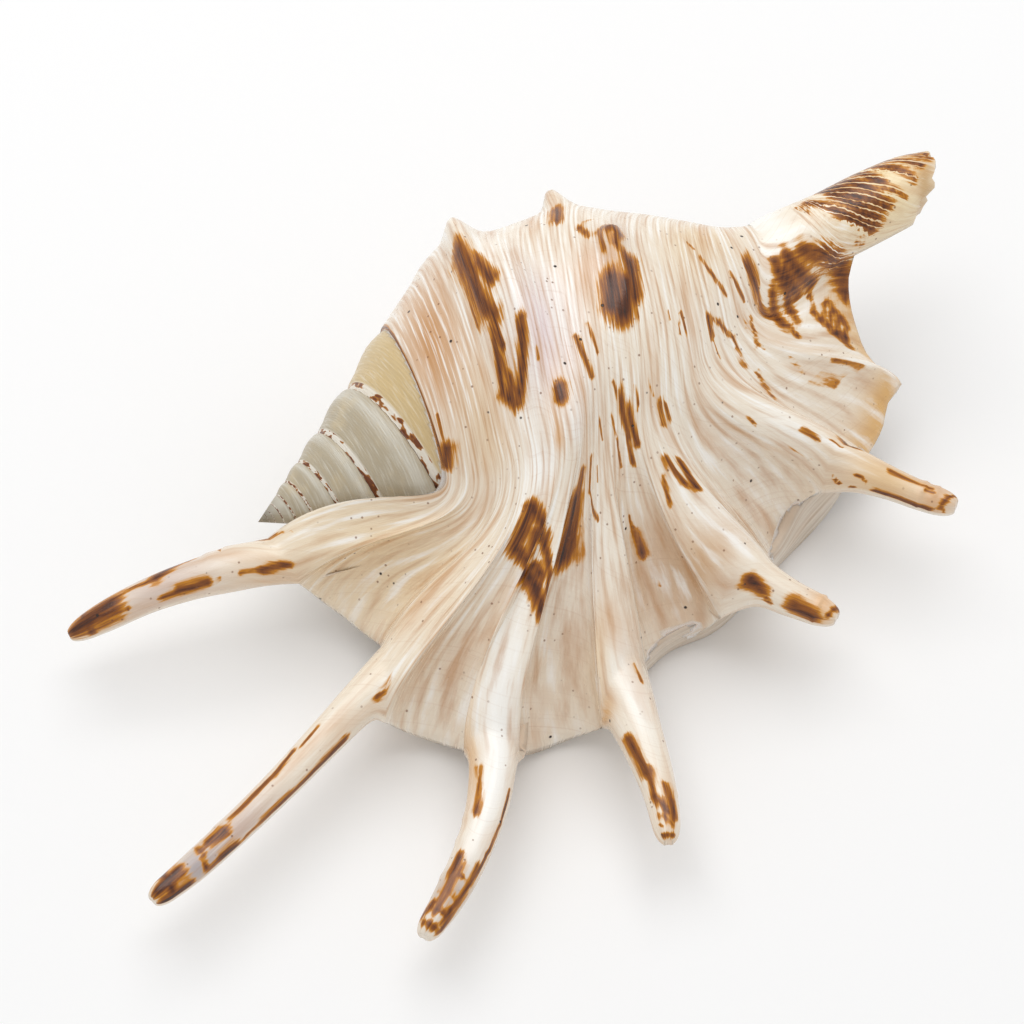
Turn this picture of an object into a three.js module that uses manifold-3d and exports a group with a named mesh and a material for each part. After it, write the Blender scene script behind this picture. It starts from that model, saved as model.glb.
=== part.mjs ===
// Spider conch shell, lying on its aperture with the finger-bearing lip towards -Y.
// Millimetres, +Z up, +X from the spire to the siphonal canal.
// The shell grew as one piece, so it is one solid: a wall that wraps the body whorl and spreads
// into the fingered lip, a spindle that carries the spire and the columella, and the rolled band
// under the lip that the shell rests on.

import * as THREE from "three";
import { mergeVertices } from "three/addons/utils/BufferGeometryUtils.js";
import Module from "manifold-3d";

// Coil axis, from the tip of the spire forwards.
const APEX_HEIGHT = 22;
const APEX_X = -70;
const AXIS_PITCH_DEG = 4;

// Body whorl: radius against distance from the apex along the axis.
const BODY_PROFILE = [
  [28, 15.9], [31, 17.8], [36, 20.8], [41, 23.5], [45, 26.0], [48, 27.0], [52, 26.4], [57, 25.5],
  [61, 25.0], [66, 24.4], [70, 23.8], [73, 22.3], [76, 20.3], [82, 16.6], [88, 12.5], [93, 9.0],
  [98, 6.9], [104, 5.9], [128, 5.7], [137, 4.2],
];
const WHORL_GROWTH = 0.09;
const PROFILE_DEG = 33;
const WALL = 3.0;
const THINNEST_WALL = 0.36;
const CALLUS_EDGE_DEG = -105;

// Knobs and ridges: distance from the apex, angle round the axis, height, widths and slant.
const KNOBS = [
  { u: 49.8, psi: 54, high: 4.8, du: 2.8, dpsi: 20, slant: 0.13 },
  { u: 50.3, psi: 92, high: 4.2, du: 3.6, dpsi: 24, slant: 0.13 },
  { u: 43.5, psi: 142, high: 5.0, du: 6.5, dpsi: 17, slant: 0.45 },
  { u: 69.5, psi: 36, high: 3.2, du: 2.0, dpsi: 9, slant: 0 },
  { u: 70.0, psi: 88, high: 2.6, du: 2.6, dpsi: 11, slant: 0.16 },
  { u: 70.0, psi: -20, high: 2.0, du: 3.0, dpsi: 14, slant: 0 },
  { u: 50.0, psi: -5, high: 3.0, du: 3.5, dpsi: 14, slant: 0 },
  { u: 46.5, psi: -92, high: 4.0, du: 13, dpsi: 26, slant: 0 },
];

// Columns of the wall run with the growth of the whorl, from the suture to the canal.
// u: where a column crosses the crest, slant: how it leans there, leave: the angle at which it
// parts from the whorl, start and end: how stiffly the lip leaves the whorl and meets its edge.
const COLUMNS = [
  { name: "suture", u: 31.0, slant: 0.05, leave: 144, start: 0.26, end: 0.62 },
  { name: "A top", u: 33.6, slant: 0.08, leave: 146, start: 0.30, end: 0.60 },
  { name: "A low", u: 35.5, slant: 0.08, leave: 146, start: 0.34, end: 0.50 },
  { name: "web AB", u: 38.5, slant: 0.09, leave: 145, start: 0.40, end: 0.42 },
  { name: "B left", u: 41.0, slant: 0.10, leave: 143, start: 0.38, end: 0.42 },
  { name: "B top", u: 43.8, slant: 0.12, leave: 141, start: 0.36, end: 0.40 },
  { name: "B right", u: 46.4, slant: 0.14, leave: 140, start: 0.34, end: 0.38 },
  { name: "web BC", u: 49.5, slant: 0.16, leave: 140, start: 0.33, end: 0.44 },
  { name: "C left", u: 52.0, slant: 0.17, leave: 140, start: 0.32, end: 0.36 },
  { name: "C top", u: 53.8, slant: 0.18, leave: 140, start: 0.32, end: 0.36 },
  { name: "C right", u: 55.6, slant: 0.18, leave: 140, start: 0.32, end: 0.36 },
  { name: "web CD", u: 58.4, slant: 0.19, leave: 141, start: 0.32, end: 0.44 },
  { name: "D left", u: 60.6, slant: 0.20, leave: 142, start: 0.32, end: 0.36 },
  { name: "D top", u: 62.8, slant: 0.20, leave: 143, start: 0.32, end: 0.36 },
  { name: "D right", u: 65.0, slant: 0.20, leave: 144, start: 0.32, end: 0.36 },
  { name: "web DE", u: 67.8, slant: 0.19, leave: 145, start: 0.33, end: 0.42 },
  { name: "E left", u: 70.2, slant: 0.18, leave: 146, start: 0.34, end: 0.38 },
  { name: "E top", u: 72.2, slant: 0.18, leave: 146, start: 0.34, end: 0.30 },
  { name: "E right", u: 74.4, slant: 0.17, leave: 146, start: 0.34, end: 0.32 },
  { name: "web EF", u: 77.6, slant: 0.15, leave: 145, start: 0.34, end: 0.44 },
  { name: "F left", u: 80.2, slant: 0.14, leave: 144, start: 0.34, end: 0.38 },
  { name: "F top", u: 82.4, slant: 0.13, leave: 143, start: 0.34, end: 0.30 },
  { name: "F right", u: 84.8, slant: 0.11, leave: 142, start: 0.34, end: 0.32 },
  { name: "notch", u: 88.2, slant: 0.08, leave: 139, start: 0.32, end: 0.36 },
  { name: "notch top", u: 90.8, slant: 0.05, leave: 141, start: 0.32, end: 0.34 },
  { name: "G low", u: 93.0, slant: 0.03, leave: 146, start: 0.30, end: 0.34 },
  { name: "G top", u: 97.0, slant: 0.02, leave: 85, start: 0.30, end: 0.34 },
  { name: "G back", u: 98.0, slant: 0.0, leave: -10, start: 0.30, end: 0.34 },
  { name: "G under", u: 99.0, slant: 0.0, leave: -82, start: 0.30, end: 0.34 },
];

// Below this angle from the crest a column's lean fades out, and under the body the columns near
// the spire draw together.
const LEAN_DEG = 45;
const LEAN_REST_DEG = 25;
const LEAN_FADE_DEG = 40;
const UNDER_SHIFT = 3.5;
const UNDER_FROM_DEG = 10;
const UNDER_SPAN_DEG = 110;
const UNDER_COLUMNS = 12;

// Fingers A to F and the siphonal canal G: centre line, radii along it, the columns that each
// takes, and the angles at which the upper sheet begins and ends round it. A finger grows out of
// a wide root: its left and right ends on the lip's edge, how far its back rises above them and
// how deep its underside hangs.
const FINGERS = {
  A: {
    root: { left: [-69.4, -1.6, 19.0], right: [-67.8, -9.5, 14.5], rise: 4.6, depth: 3.0 },
    line: [[-76.5, -3.6, 17.8], [-82.7, -2.0, 17.3], [-90.6, -0.2, 16], [-98.8, 0.9, 14],
      [-104.7, 1.7, 12]],
    radii: [3.8, 3.3, 2.9, 2.5, 1.7], columns: [0, 2], arc: [12, 174],
  },
  B: {
    root: { left: [-61.6, -26.4, 12.5], right: [-67.8, -38.6, 11.5], rise: 6.4, depth: 3.0 },
    line: [[-71.1, -35, 14], [-78.4, -37.4, 13], [-88.4, -41.4, 13], [-98.4, -45, 13],
      [-108.7, -48.3, 13], [-116.5, -50.3, 13]],
    radii: [3.5, 3.1, 2.8, 2.6, 2.4, 1.9], columns: [4, 6], arc: [6, 174],
  },
  C: {
    root: { left: [-59.3, -49.3, 10.5], right: [-51.5, -54.2, 10.5], rise: 7.0, depth: 3.0 },
    line: [[-56.9, -54.7, 12.8], [-61, -60.4, 12], [-65.4, -65, 12], [-70.4, -69.3, 12],
      [-76, -73.3, 12], [-82.3, -77.1, 12]],
    radii: [4.0, 3.5, 3.1, 2.9, 2.6, 1.9], columns: [8, 10], arc: [6, 174],
  },
  D: {
    root: { left: [-37.0, -56.0, 9.5], right: [-25.2, -50.2, 11], rise: 8.4, depth: 3.0 },
    line: [[-33.4, -60.2, 13.4], [-36.4, -73.0, 12.6], [-38.3, -78, 12.5], [-40.1, -81.8, 12.5]],
    radii: [4.1, 2.8, 2.4, 1.9], columns: [12, 14], arc: [6, 174],
  },
  E: {
    root: { left: [-10.2, -48.3, 12], right: [2.2, -44, 12.5], rise: 9.6, depth: 2.6 },
    line: [[-1.9, -49.4, 16.2], [0.5, -53.1, 15.6], [3.1, -56.6, 15], [5.2, -60, 15]],
    radii: [3.8, 3.1, 2.7, 2.3], columns: [16, 18], arc: [6, 174],
  },
  F: {
    root: { left: [16.7, -37.3, 15], right: [24.3, -34.9, 16], rise: 9.2, depth: 2.4 },
    line: [[22.6, -39.8, 19.4], [25.9, -43.6, 18.6], [29.2, -47.9, 18], [33, -52.7, 18]],
    radii: [3.5, 2.8, 2.5, 2.3], columns: [20, 22], arc: [6, 174],
  },
  G: {
    line: [[41.5, -0.4, 30.6], [50.2, -0.7, 31.6], [56.3, -1.1, 32.3], [61.6, -1.6, 33]],
    radii: [6.4, 6.3, 5.9, 4.8], columns: [25, 28], arc: [-14, 262],
  },
};
const CANAL = "G";
const CANAL_WALL = 2.0;
const CANAL_CUT = 8;
const CANAL_LONGEST_DEG = 110;
const RIDGE_EASE = 0.7;
const GROOVE_DEPTH = 0.42;
const GROOVE_HALF_DEG = 26;

// Edge of the lip between two fingers, from the left one to the right one, and how steeply the
// lip comes down to it.
const WEBS = [
  { from: "A", to: "B", fall: 1.2, edge: [[-64.9, -10.8, 10], [-62.4, -14.2, 7.5], [-60.9, -18, 6.5],
    [-60.4, -22.6, 8.5]] },
  { from: "B", to: "C", fall: 2.4, edge: [[-63.8, -38.8, 6], [-60.2, -41.5, 4], [-57.8, -46.2, 6]] },
  { from: "C", to: "D", fall: 2.4, edge: [[-49.8, -51.4, 6], [-44.8, -50.7, 3], [-39.8, -51.7, 3.4],
    [-36.6, -54, 6]] },
  { from: "D", to: "E", fall: 1.5, edge: [[-22.4, -46.4, 6.5], [-18, -44.5, 5], [-13.2, -45.2, 5],
    [-10.3, -46.8, 8]] },
  { from: "E", to: "F", fall: 2.0, edge: [[4.8, -41, 7.5], [6.9, -39, 5], [9.6, -36.4, 6],
    [12.4, -34.7, 9], [15.2, -35.6, 12.5]] },
  { from: "F", to: "G", fall: 1.6, edge: [[26.8, -33, 12], [29.4, -31.4, 9], [34.4, -28.6, 10],
    [38, -25.1, 12], [41, -24.1, 14], [38.7, -22.1, 16], [36.4, -19.3, 20], [36.6, -15.4, 23],
    [37.6, -11.7, 25], [39.3, -8.6, 27]] },
];
const EDGE_THICKNESS = 1.9;
const EDGE_SETBACK = 0.6;
const EDGE_FREEDOM = 0.8;
const UNDER_EDGE_FALL = 0.1;

// Lining of the lip: the columns over which it takes its own course, its height near the edge, and
// how much more than the upper sheet it plunges from the whorl and runs out level.
const LINING_FROM = [2, 6];
const LINING_TO = [21, 24];
const LINING_HEIGHT = 6;
const LINING_PLUNGE = 0.5;
const LINING_DROP = 0.30;
const LINING_RUN = 0.22;

// Rolled band under the lip, from finger D to the notch: where it hangs from the lip's edge, and
// its foot.
const BAND_TOP = [[-26.2, -48.4, 7.6], [-17.6, -44.9, 5.6], [-8, -45.4, 7.4], [1, -42.4, 9.6],
  [8.2, -38.6, 6.6], [15, -35.4, 10.6], [22, -33.9, 13], [29.2, -31.2, 10.4]];
const BAND_FOOT = [[-25.5, -46.8, -0.3], [-17, -44, -0.3], [-8.2, -44.3, -0.3], [0.6, -41.6, -0.3],
  [8.2, -38.4, -0.3], [15, -36, -0.3], [21.4, -34, 2], [28.6, -30.8, 7]];
const BAND_THICKNESS = 2.4;
const BAND_SECTION = [[-0.15, 0], [-0.5, -0.05], [-0.9, 0.1], [-1, 0.5], [-0.9, 1.05], [-0.1, 1.05],
  [0.15, 0.5], [0, 0.2]];

// Spire: slope of the cone, where its last suture crosses the far side, growth in one turn, and
// the roll of each whorl: where in the turn it starts, and how deep and wide the suture is.
const SPIRE_SLOPE = 0.56;
const LAST_SUTURE = 34.5;
const LAST_SUTURE_DEG = 26;
const WHORL_RATIO = 1.5;
const SPIRE_TURNS = 6;
const ROLL_HEIGHT = 0.05;
const ROLL_START = 0.35;
const SUTURE_DEPTH = 1.1;
const SUTURE_WIDTH = 0.16;
const SPINDLE_PROFILE = [
  [34.5, 19.3], [38, 17.2], [44, 13.6], [52, 11.4], [62, 10.4], [74, 8.6], [86, 5.6], [96, 3.6],
  [108, 2.6], [118, 1.6],
];
const SPINDLE_DROP = [[30, 0], [38, 2.0], [46, 8.0], [54, 10.5], [64, 10.4], [76, 9.0], [86, 5.6],
  [96, 2.4], [118, 2.2]];

// Fineness of the mesh.
const STEPS_PER_COLUMN = 3;
const BODY_ROWS = 10;
const LIP_ROWS = 7;
const FINGER_ROWS = 6;
const SPINDLE_SIDES = 18;
const RINGS_PER_TURN = 4;
const SPINDLE_RINGS = 8;
const BAND_RINGS = 16;
const FINEST_DETAIL = 0.02;
const STEP = 1e-3;
const FLOOR_CUT = 400;

const radians = THREE.MathUtils.degToRad;
const clamp = THREE.MathUtils.clamp;
const vec = (p) => new THREE.Vector3(p[0], p[1], p[2]);
const pitch = radians(AXIS_PITCH_DEG);
const AXIS = new THREE.Vector3(Math.cos(pitch), 0, Math.sin(pitch));
const LIFT = new THREE.Vector3(-Math.sin(pitch), 0, Math.cos(pitch));
const BACK = new THREE.Vector3(0, 1, 0);
const UP = new THREE.Vector3(0, 0, 1);

// A smooth curve through given values: a cubic between neighbours, with the slope at each one
// weighed from the slopes on both sides of it.
function spline(x, xs, ys) {
  const last = xs.length - 1;
  const slopeOf = (i) => (ys[i + 1] - ys[i]) / (xs[i + 1] - xs[i]);
  const tangent = (i) => {
    if (i === 0) return slopeOf(0);
    if (i === last) return slopeOf(last - 1);
    const before = xs[i] - xs[i - 1];
    const after = xs[i + 1] - xs[i];
    return (slopeOf(i - 1) * after + slopeOf(i) * before) / (before + after);
  };
  const at = clamp(x, xs[0], xs[last]);
  let i = 0;
  while (i < last - 1 && at >= xs[i + 1]) i += 1;
  const wide = xs[i + 1] - xs[i];
  const t = (at - xs[i]) / wide;
  return (2 * t ** 3 - 3 * t ** 2 + 1) * ys[i] + (t ** 3 - 2 * t ** 2 + t) * wide * tangent(i)
    + (3 * t ** 2 - 2 * t ** 3) * ys[i + 1] + (t ** 3 - t ** 2) * wide * tangent(i + 1);
}

function curveThrough(points, reach, at) {
  const axes = [0, 1, 2].map((axis) => spline(at, reach, points.map((p) => p[axis])));
  return vec(axes);
}

// Share of the whole length at which each point of a line lies.
function reachOf(points) {
  const sums = [0];
  for (let i = 1; i < points.length; i += 1) {
    sums.push(sums[i - 1] + vec(points[i]).distanceTo(vec(points[i - 1])));
  }
  return sums.map((s) => s / sums[sums.length - 1]);
}

const profileAt = (u, profile) => spline(u, profile.map((p) => p[0]), profile.map((p) => p[1]));
const columnValue = (k, key) => spline(k, COLUMNS.map((c, i) => i), COLUMNS.map((c) => c[key]));
const bell = (x, width) => Math.exp(-((x / width) ** 2));
const smooth = (x) => {
  const t = clamp(x, 0, 1);
  return t * t * (3 - 2 * t);
};

// The whorl widens as it grows round the axis; psi is 0 at the back, 90 on top, 180 at the lip.
const plainRadius = (u, psi) => profileAt(u, BODY_PROFILE)
  * (1 + WHORL_GROWTH * clamp((psi - PROFILE_DEG) / 100, -1.5, 1.2));

function knobHeight(u, psi) {
  const raised = KNOBS.map((k) => k.high * bell(u + k.slant * (psi - k.psi) - k.u, k.du)
    * bell(psi - k.psi, k.dpsi));
  return raised.reduce((sum, h) => sum + h, 0);
}

function whorlPoint(u, psi, radius) {
  const angle = radians(psi);
  return new THREE.Vector3(APEX_X, 0, APEX_HEIGHT)
    .addScaledVector(AXIS, u)
    .addScaledVector(BACK, radius * Math.cos(angle))
    .addScaledVector(LIFT, radius * Math.sin(angle));
}

// Where column k lies along the axis at the angle psi.
function columnU(k, psi) {
  const q = psi - 90;
  const past = -q - LEAN_DEG;
  const bend = past < 0 ? q : -LEAN_DEG - LEAN_REST_DEG * Math.tanh(past / LEAN_FADE_DEG);
  const under = UNDER_SHIFT * smooth((UNDER_FROM_DEG - psi) / UNDER_SPAN_DEG)
    * clamp(1 - k / UNDER_COLUMNS, 0, 1);
  return columnValue(k, "u") - columnValue(k, "slant") * bend - under;
}

function outerPoint(k, psi) {
  const u = columnU(k, psi);
  return whorlPoint(u, psi, plainRadius(u, psi) + knobHeight(u, psi));
}

function innerPoint(k, psi) {
  const u = columnU(k, psi);
  const plain = plainRadius(u, psi);
  return whorlPoint(u, psi, plain - Math.min(WALL, plain * THINNEST_WALL));
}

// A section of a finger at v, 0 at its root and 1 at its tip: centre, direction, half width, and
// its height above and depth below the centre.
function fingerSection(finger, v) {
  const points = finger.line.map(vec);
  const tangents = points.map((p, i) => points[Math.min(i + 1, points.length - 1)].clone()
    .sub(points[Math.max(i - 1, 0)]).normalize());
  const sides = tangents.map((t) => new THREE.Vector3().crossVectors(UP, t).normalize());
  const edge = (sign) => points.map((p, i) => p.clone()
    .addScaledVector(sides[i], sign * finger.radii[i]).toArray());
  const left = edge(-1);
  const right = edge(1);
  const rise = [...finger.radii];
  const depth = [...finger.radii];
  if (finger.root) {
    left.unshift(finger.root.left);
    right.unshift(finger.root.right);
    rise.unshift(finger.root.rise);
    depth.unshift(finger.root.depth);
  }
  const middle = left.map((p, i) => vec(p).add(vec(right[i])).multiplyScalar(0.5).toArray());
  const reach = reachOf(middle);
  const centreAt = (x) => curveThrough(middle, reach, clamp(x, 0, 1));
  const root = finger.root ? 1 - smooth(v / reach[1]) : 0;
  const along = centreAt(v + STEP).sub(centreAt(v - STEP));
  if (finger.root) along.setZ(along.z * smooth((v / reach[1] - 1) / 2));
  along.normalize();
  const across = curveThrough(right, reach, v).sub(curveThrough(left, reach, v));
  const side = across.clone().normalize();
  return {
    centre: centreAt(v),
    along,
    side,
    up: new THREE.Vector3().crossVectors(along, side).normalize(),
    half: across.length() / 2,
    rise: spline(v, reach, rise),
    depth: spline(v, reach, depth),
    root,
  };
}

// A point on a finger's skin. The underside has the groove that runs out to the tip; the canal is
// a trough, so its lower sheet is its lining.
function fingerPoint(name, k, v, lower) {
  const finger = FINGERS[name];
  const section = fingerSection(finger, v);
  const [first, last] = finger.columns;
  const turn = finger.arc[0] + (finger.arc[1] - finger.arc[0]) * (k - first) / (last - first);
  const angle = radians(turn);
  let wide = section.half;
  let high = section.rise;
  if (lower && name === CANAL) {
    wide -= CANAL_WALL;
    high -= CANAL_WALL;
  } else if (lower) {
    high = -section.depth * (1 - GROOVE_DEPTH * bell(turn - 90, GROOVE_HALF_DEG));
  }
  const swell = Math.sin(angle);
  const point = section.centre.clone()
    .addScaledVector(section.side, -wide * Math.cos(angle))
    .addScaledVector(section.up, high * swell);
  if (name === CANAL) {
    const shorter = CANAL_CUT * (1 - Math.cos(radians(turn - CANAL_LONGEST_DEG))) / 2;
    point.addScaledVector(section.along, -shorter * smooth(2 * v - 1));
  }
  const falling = lower || name === CANAL ? 0 : fallAt(k) * (1 - RIDGE_EASE * swell) * section.root;
  return { point, along: section.along.clone().addScaledVector(UP, -falling).normalize() };
}

// How steeply the lip comes down to its edge at column k.
function fallAt(k) {
  const middles = WEBS.map((w) => (FINGERS[w.from].columns[1] + FINGERS[w.to].columns[0]) / 2);
  return spline(k, middles, WEBS.map((w) => w.fall));
}

const fingerOf = (k) => Object.keys(FINGERS).find((name) => {
  const [first, last] = FINGERS[name].columns;
  return k >= first - 1e-6 && k <= last + 1e-6;
});

// The edge of the wall at column k, and the direction in which the wall arrives there.
function edgeAt(k, lower) {
  const name = fingerOf(k);
  if (name) {
    return fingerPoint(name, k, 0, lower);
  }
  const web = WEBS.find((w) => k > FINGERS[w.from].columns[1] && k < FINGERS[w.to].columns[0]);
  const left = FINGERS[web.from].columns[1];
  const right = FINGERS[web.to].columns[0];
  const start = fingerPoint(web.from, left, 0, lower);
  const finish = fingerPoint(web.to, right, 0, lower);
  const points = [start.point.toArray(), ...web.edge, finish.point.toArray()];
  const share = (k - left) / (right - left);
  const point = curveThrough(points, reachOf(points), share);
  const chord = finish.point.clone().sub(start.point).setZ(0).normalize();
  const away = new THREE.Vector3().crossVectors(chord, UP);
  const free = Math.sin(Math.PI * share) ** EDGE_FREEDOM;
  const fall = lower ? UNDER_EDGE_FALL : fallAt(k);
  const outward = away.clone().addScaledVector(UP, -fall).normalize();
  const along = new THREE.Vector3()
    .addScaledVector(start.along, (1 - share) * (1 - free))
    .addScaledVector(finish.along, share * (1 - free))
    .addScaledVector(outward, free)
    .normalize();
  if (lower) {
    point.addScaledVector(UP, -EDGE_THICKNESS * free).addScaledVector(away, -EDGE_SETBACK * free);
  }
  return { point, along };
}

function bezier(a, b, c, d, t) {
  const s = 1 - t;
  return new THREE.Vector3()
    .addScaledVector(a, s ** 3)
    .addScaledVector(b, 3 * s * s * t)
    .addScaledVector(c, 3 * s * t * t)
    .addScaledVector(d, t ** 3);
}

// Upper and lower sheets of the wall. t runs 0 to 1 round the whorl and 1 to 2 across the lip.
function upperSheet(k, t) {
  const leave = columnValue(k, "leave");
  if (t <= 1) return outerPoint(k, CALLUS_EDGE_DEG + (leave - CALLUS_EDGE_DEG) * t);
  const from = outerPoint(k, leave);
  const onward = from.clone().sub(outerPoint(k, leave - 1)).normalize();
  const edge = edgeAt(k, false);
  const span = edge.point.distanceTo(from);
  const second = from.clone().addScaledVector(onward, columnValue(k, "start") * span);
  const third = edge.point.clone().addScaledVector(edge.along, -columnValue(k, "end") * span);
  return bezier(from, second, third, edge.point, t - 1);
}

// The lining drops steeply from the whorl and then runs out flat under the lip.
function lowerSheet(k, t) {
  const leave = columnValue(k, "leave");
  if (t <= 1) return innerPoint(k, CALLUS_EDGE_DEG + (leave - CALLUS_EDGE_DEG) * t);
  const from = innerPoint(k, leave);
  const onward = from.clone().sub(innerPoint(k, leave - 1)).normalize();
  const edge = edgeAt(k, true);
  const span = edge.point.distanceTo(from);
  const flat = smooth((k - LINING_FROM[0]) / (LINING_FROM[1] - LINING_FROM[0]))
    * smooth((LINING_TO[1] - k) / (LINING_TO[1] - LINING_TO[0]));
  const level = edge.point.clone().sub(from).setZ(0).normalize();
  const along = edge.along.clone().lerp(level, flat).normalize();
  const drop = columnValue(k, "start") + LINING_DROP * flat;
  const run = columnValue(k, "end") + LINING_RUN * flat;
  const down = onward.lerp(UP.clone().negate(), LINING_PLUNGE * flat).normalize();
  const second = from.clone().addScaledVector(down, drop * span);
  const third = edge.point.clone().addScaledVector(along, -run * span);
  third.z += (LINING_HEIGHT - third.z) * flat;
  return bezier(from, second, third, edge.point, t - 1);
}

// Joins two sheets that share one outline into a closed skin. A sheet is a list of columns of
// points, and a column beyond the lip's edge is longer where it carries a finger.
function closedWall(upper, lower) {
  const positions = [];
  const numberUp = (sheet) => sheet.map((column) => column.map((p) => {
    positions.push(p.x, p.y, p.z);
    return positions.length / 3 - 1;
  }));
  const top = numberUp(upper);
  const bottom = numberUp(lower);
  const faces = [];
  const quad = (a, b, c, d) => faces.push(a, b, c, a, c, d);
  const has = (i, j) => i >= 0 && i + 1 < top.length && j >= 0
    && top[i][j + 1] !== undefined && top[i + 1][j + 1] !== undefined && joined(i, j);
  const rim = (i, j, m, n) => quad(top[i][j], top[m][n], bottom[m][n], bottom[i][j]);
  for (let i = 0; i + 1 < top.length; i += 1) {
    for (let j = 0; j < Math.max(top[i].length, top[i + 1].length) - 1; j += 1) {
      if (!has(i, j)) continue;
      quad(top[i][j], top[i][j + 1], top[i + 1][j + 1], top[i + 1][j]);
      quad(bottom[i][j], bottom[i + 1][j], bottom[i + 1][j + 1], bottom[i][j + 1]);
      if (!has(i - 1, j)) rim(i, j + 1, i, j);
      if (!has(i + 1, j)) rim(i + 1, j, i + 1, j + 1);
      if (!has(i, j - 1)) rim(i, j, i + 1, j);
      if (!has(i, j + 1)) rim(i + 1, j + 1, i, j + 1);
    }
  }
  return { positions, faces };
}

// Column numbers of the mesh, and the rows of each column.
const columnAt = (i) => i / STEPS_PER_COLUMN;
const columnCount = (COLUMNS.length - 1) * STEPS_PER_COLUMN + 1;
const wallRows = BODY_ROWS + LIP_ROWS;

// Columns i and i + 1 are joined all along the lip, and beyond its edge where one finger has both.
function joined(i, j) {
  if (j < wallRows) return true;
  const name = fingerOf(columnAt(i));
  return name !== undefined && name === fingerOf(columnAt(i + 1));
}

function sheetColumns(sheet, lower) {
  const columns = [];
  for (let i = 0; i < columnCount; i += 1) {
    const k = columnAt(i);
    const column = [];
    for (let j = 0; j <= wallRows; j += 1) {
      const t = j <= BODY_ROWS ? j / BODY_ROWS : 1 + (j - BODY_ROWS) / LIP_ROWS;
      column.push(sheet(k, t));
    }
    const name = fingerOf(k);
    if (name) {
      for (let j = 1; j <= FINGER_ROWS; j += 1) {
        column.push(fingerPoint(name, k, j / FINGER_ROWS, lower).point);
      }
    }
    columns.push(column);
  }
  return columns;
}

// A closed skin from rings of points, each ring with the same number of points, and a point at
// each end.
function closedRings(rings, first, last) {
  const sides = rings[0].length;
  const positions = [];
  rings.flat().forEach((p) => positions.push(p.x, p.y, p.z));
  positions.push(first.x, first.y, first.z, last.x, last.y, last.z);
  const start = rings.length * sides;
  const faces = [];
  for (let j = 0; j < sides; j += 1) {
    const next = (j + 1) % sides;
    faces.push(start, next, j);
    const end = (rings.length - 1) * sides;
    faces.push(start + 1, end + j, end + next);
    for (let i = 0; i + 1 < rings.length; i += 1) {
      const a = i * sides;
      const b = a + sides;
      faces.push(a + j, a + next, b + next, a + j, b + next, b + j);
    }
  }
  return { positions, faces };
}

// Radius of the spire: a cone whose whorls start narrow after each suture and end in a roll.
function spireRadius(u, psi) {
  const turns = Math.log(u / LAST_SUTURE) / Math.log(WHORL_RATIO) - (psi - LAST_SUTURE_DEG) / 360;
  const within = turns - Math.floor(turns);
  const roll = Math.sin(Math.PI * clamp((within - ROLL_START) / (1 - ROLL_START), 0, 1))
    - SUTURE_DEPTH * bell(within, SUTURE_WIDTH);
  return SPIRE_SLOPE * u * (1 + ROLL_HEIGHT * roll);
}

function spindle() {
  const rings = [];
  const stations = [];
  for (let i = SPIRE_TURNS * RINGS_PER_TURN; i >= 0; i -= 1) {
    stations.push(LAST_SUTURE / WHORL_RATIO ** (i / RINGS_PER_TURN));
  }
  const end = SPINDLE_PROFILE[SPINDLE_PROFILE.length - 1][0];
  for (let i = 1; i <= SPINDLE_RINGS; i += 1) {
    stations.push(LAST_SUTURE + (end - LAST_SUTURE) * i / SPINDLE_RINGS);
  }
  const place = (u, psi, radius) => whorlPoint(u, psi, radius)
    .addScaledVector(LIFT, -profileAt(u, SPINDLE_DROP));
  stations.forEach((u) => {
    const ring = [];
    for (let j = 0; j < SPINDLE_SIDES; j += 1) {
      const psi = 360 * j / SPINDLE_SIDES;
      const radius = u <= LAST_SUTURE ? spireRadius(u, psi) : profileAt(u, SPINDLE_PROFILE);
      ring.push(place(u, psi, radius));
    }
    rings.push(ring);
  });
  return closedRings(rings, place(0, 0, 0), place(end + 1, 0, 0));
}

// The rolled band: a strip with a rounded foot that hangs from the lip's edge.
function rolledBand() {
  const reach = reachOf(BAND_FOOT);
  const rings = [];
  for (let i = 0; i <= BAND_RINGS; i += 1) {
    const v = i / BAND_RINGS;
    const foot = curveThrough(BAND_FOOT, reach, v);
    const top = curveThrough(BAND_TOP, reach, v);
    const ahead = curveThrough(BAND_FOOT, reach, Math.min(v + STEP, 1));
    const along = ahead.sub(curveThrough(BAND_FOOT, reach, Math.max(v - STEP, 0)));
    const out = new THREE.Vector3().crossVectors(along.setZ(0).normalize(), UP);
    rings.push(BAND_SECTION.map(([across, high]) => foot.clone().lerp(top, high)
      .addScaledVector(out, across * BAND_THICKNESS)));
  }
  const middle = (ring) => ring.reduce((sum, p) => sum.add(p), new THREE.Vector3())
    .divideScalar(ring.length);
  return closedRings(rings, middle(rings[0]), middle(rings[BAND_RINGS]));
}

const wasm = await Module();
wasm.setup();

function solid({ positions, faces }) {
  let geometry = new THREE.BufferGeometry();
  geometry.setAttribute("position", new THREE.Float32BufferAttribute(positions, 3));
  geometry.setIndex(faces);
  geometry = mergeVertices(geometry, 1e-4);
  return new wasm.Manifold(new wasm.Mesh({
    numProp: 3,
    vertProperties: new Float32Array(geometry.attributes.position.array),
    triVerts: new Uint32Array(geometry.index.array),
  }));
}

function boxSolid(width, depth, height, centre) {
  const box = new THREE.BoxGeometry(width, depth, height);
  box.deleteAttribute("normal");
  box.deleteAttribute("uv");
  box.translate(centre.x, centre.y, centre.z);
  const merged = mergeVertices(box, 1e-4);
  return solid({
    positions: Array.from(merged.attributes.position.array),
    faces: Array.from(merged.index.array),
  });
}

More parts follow.
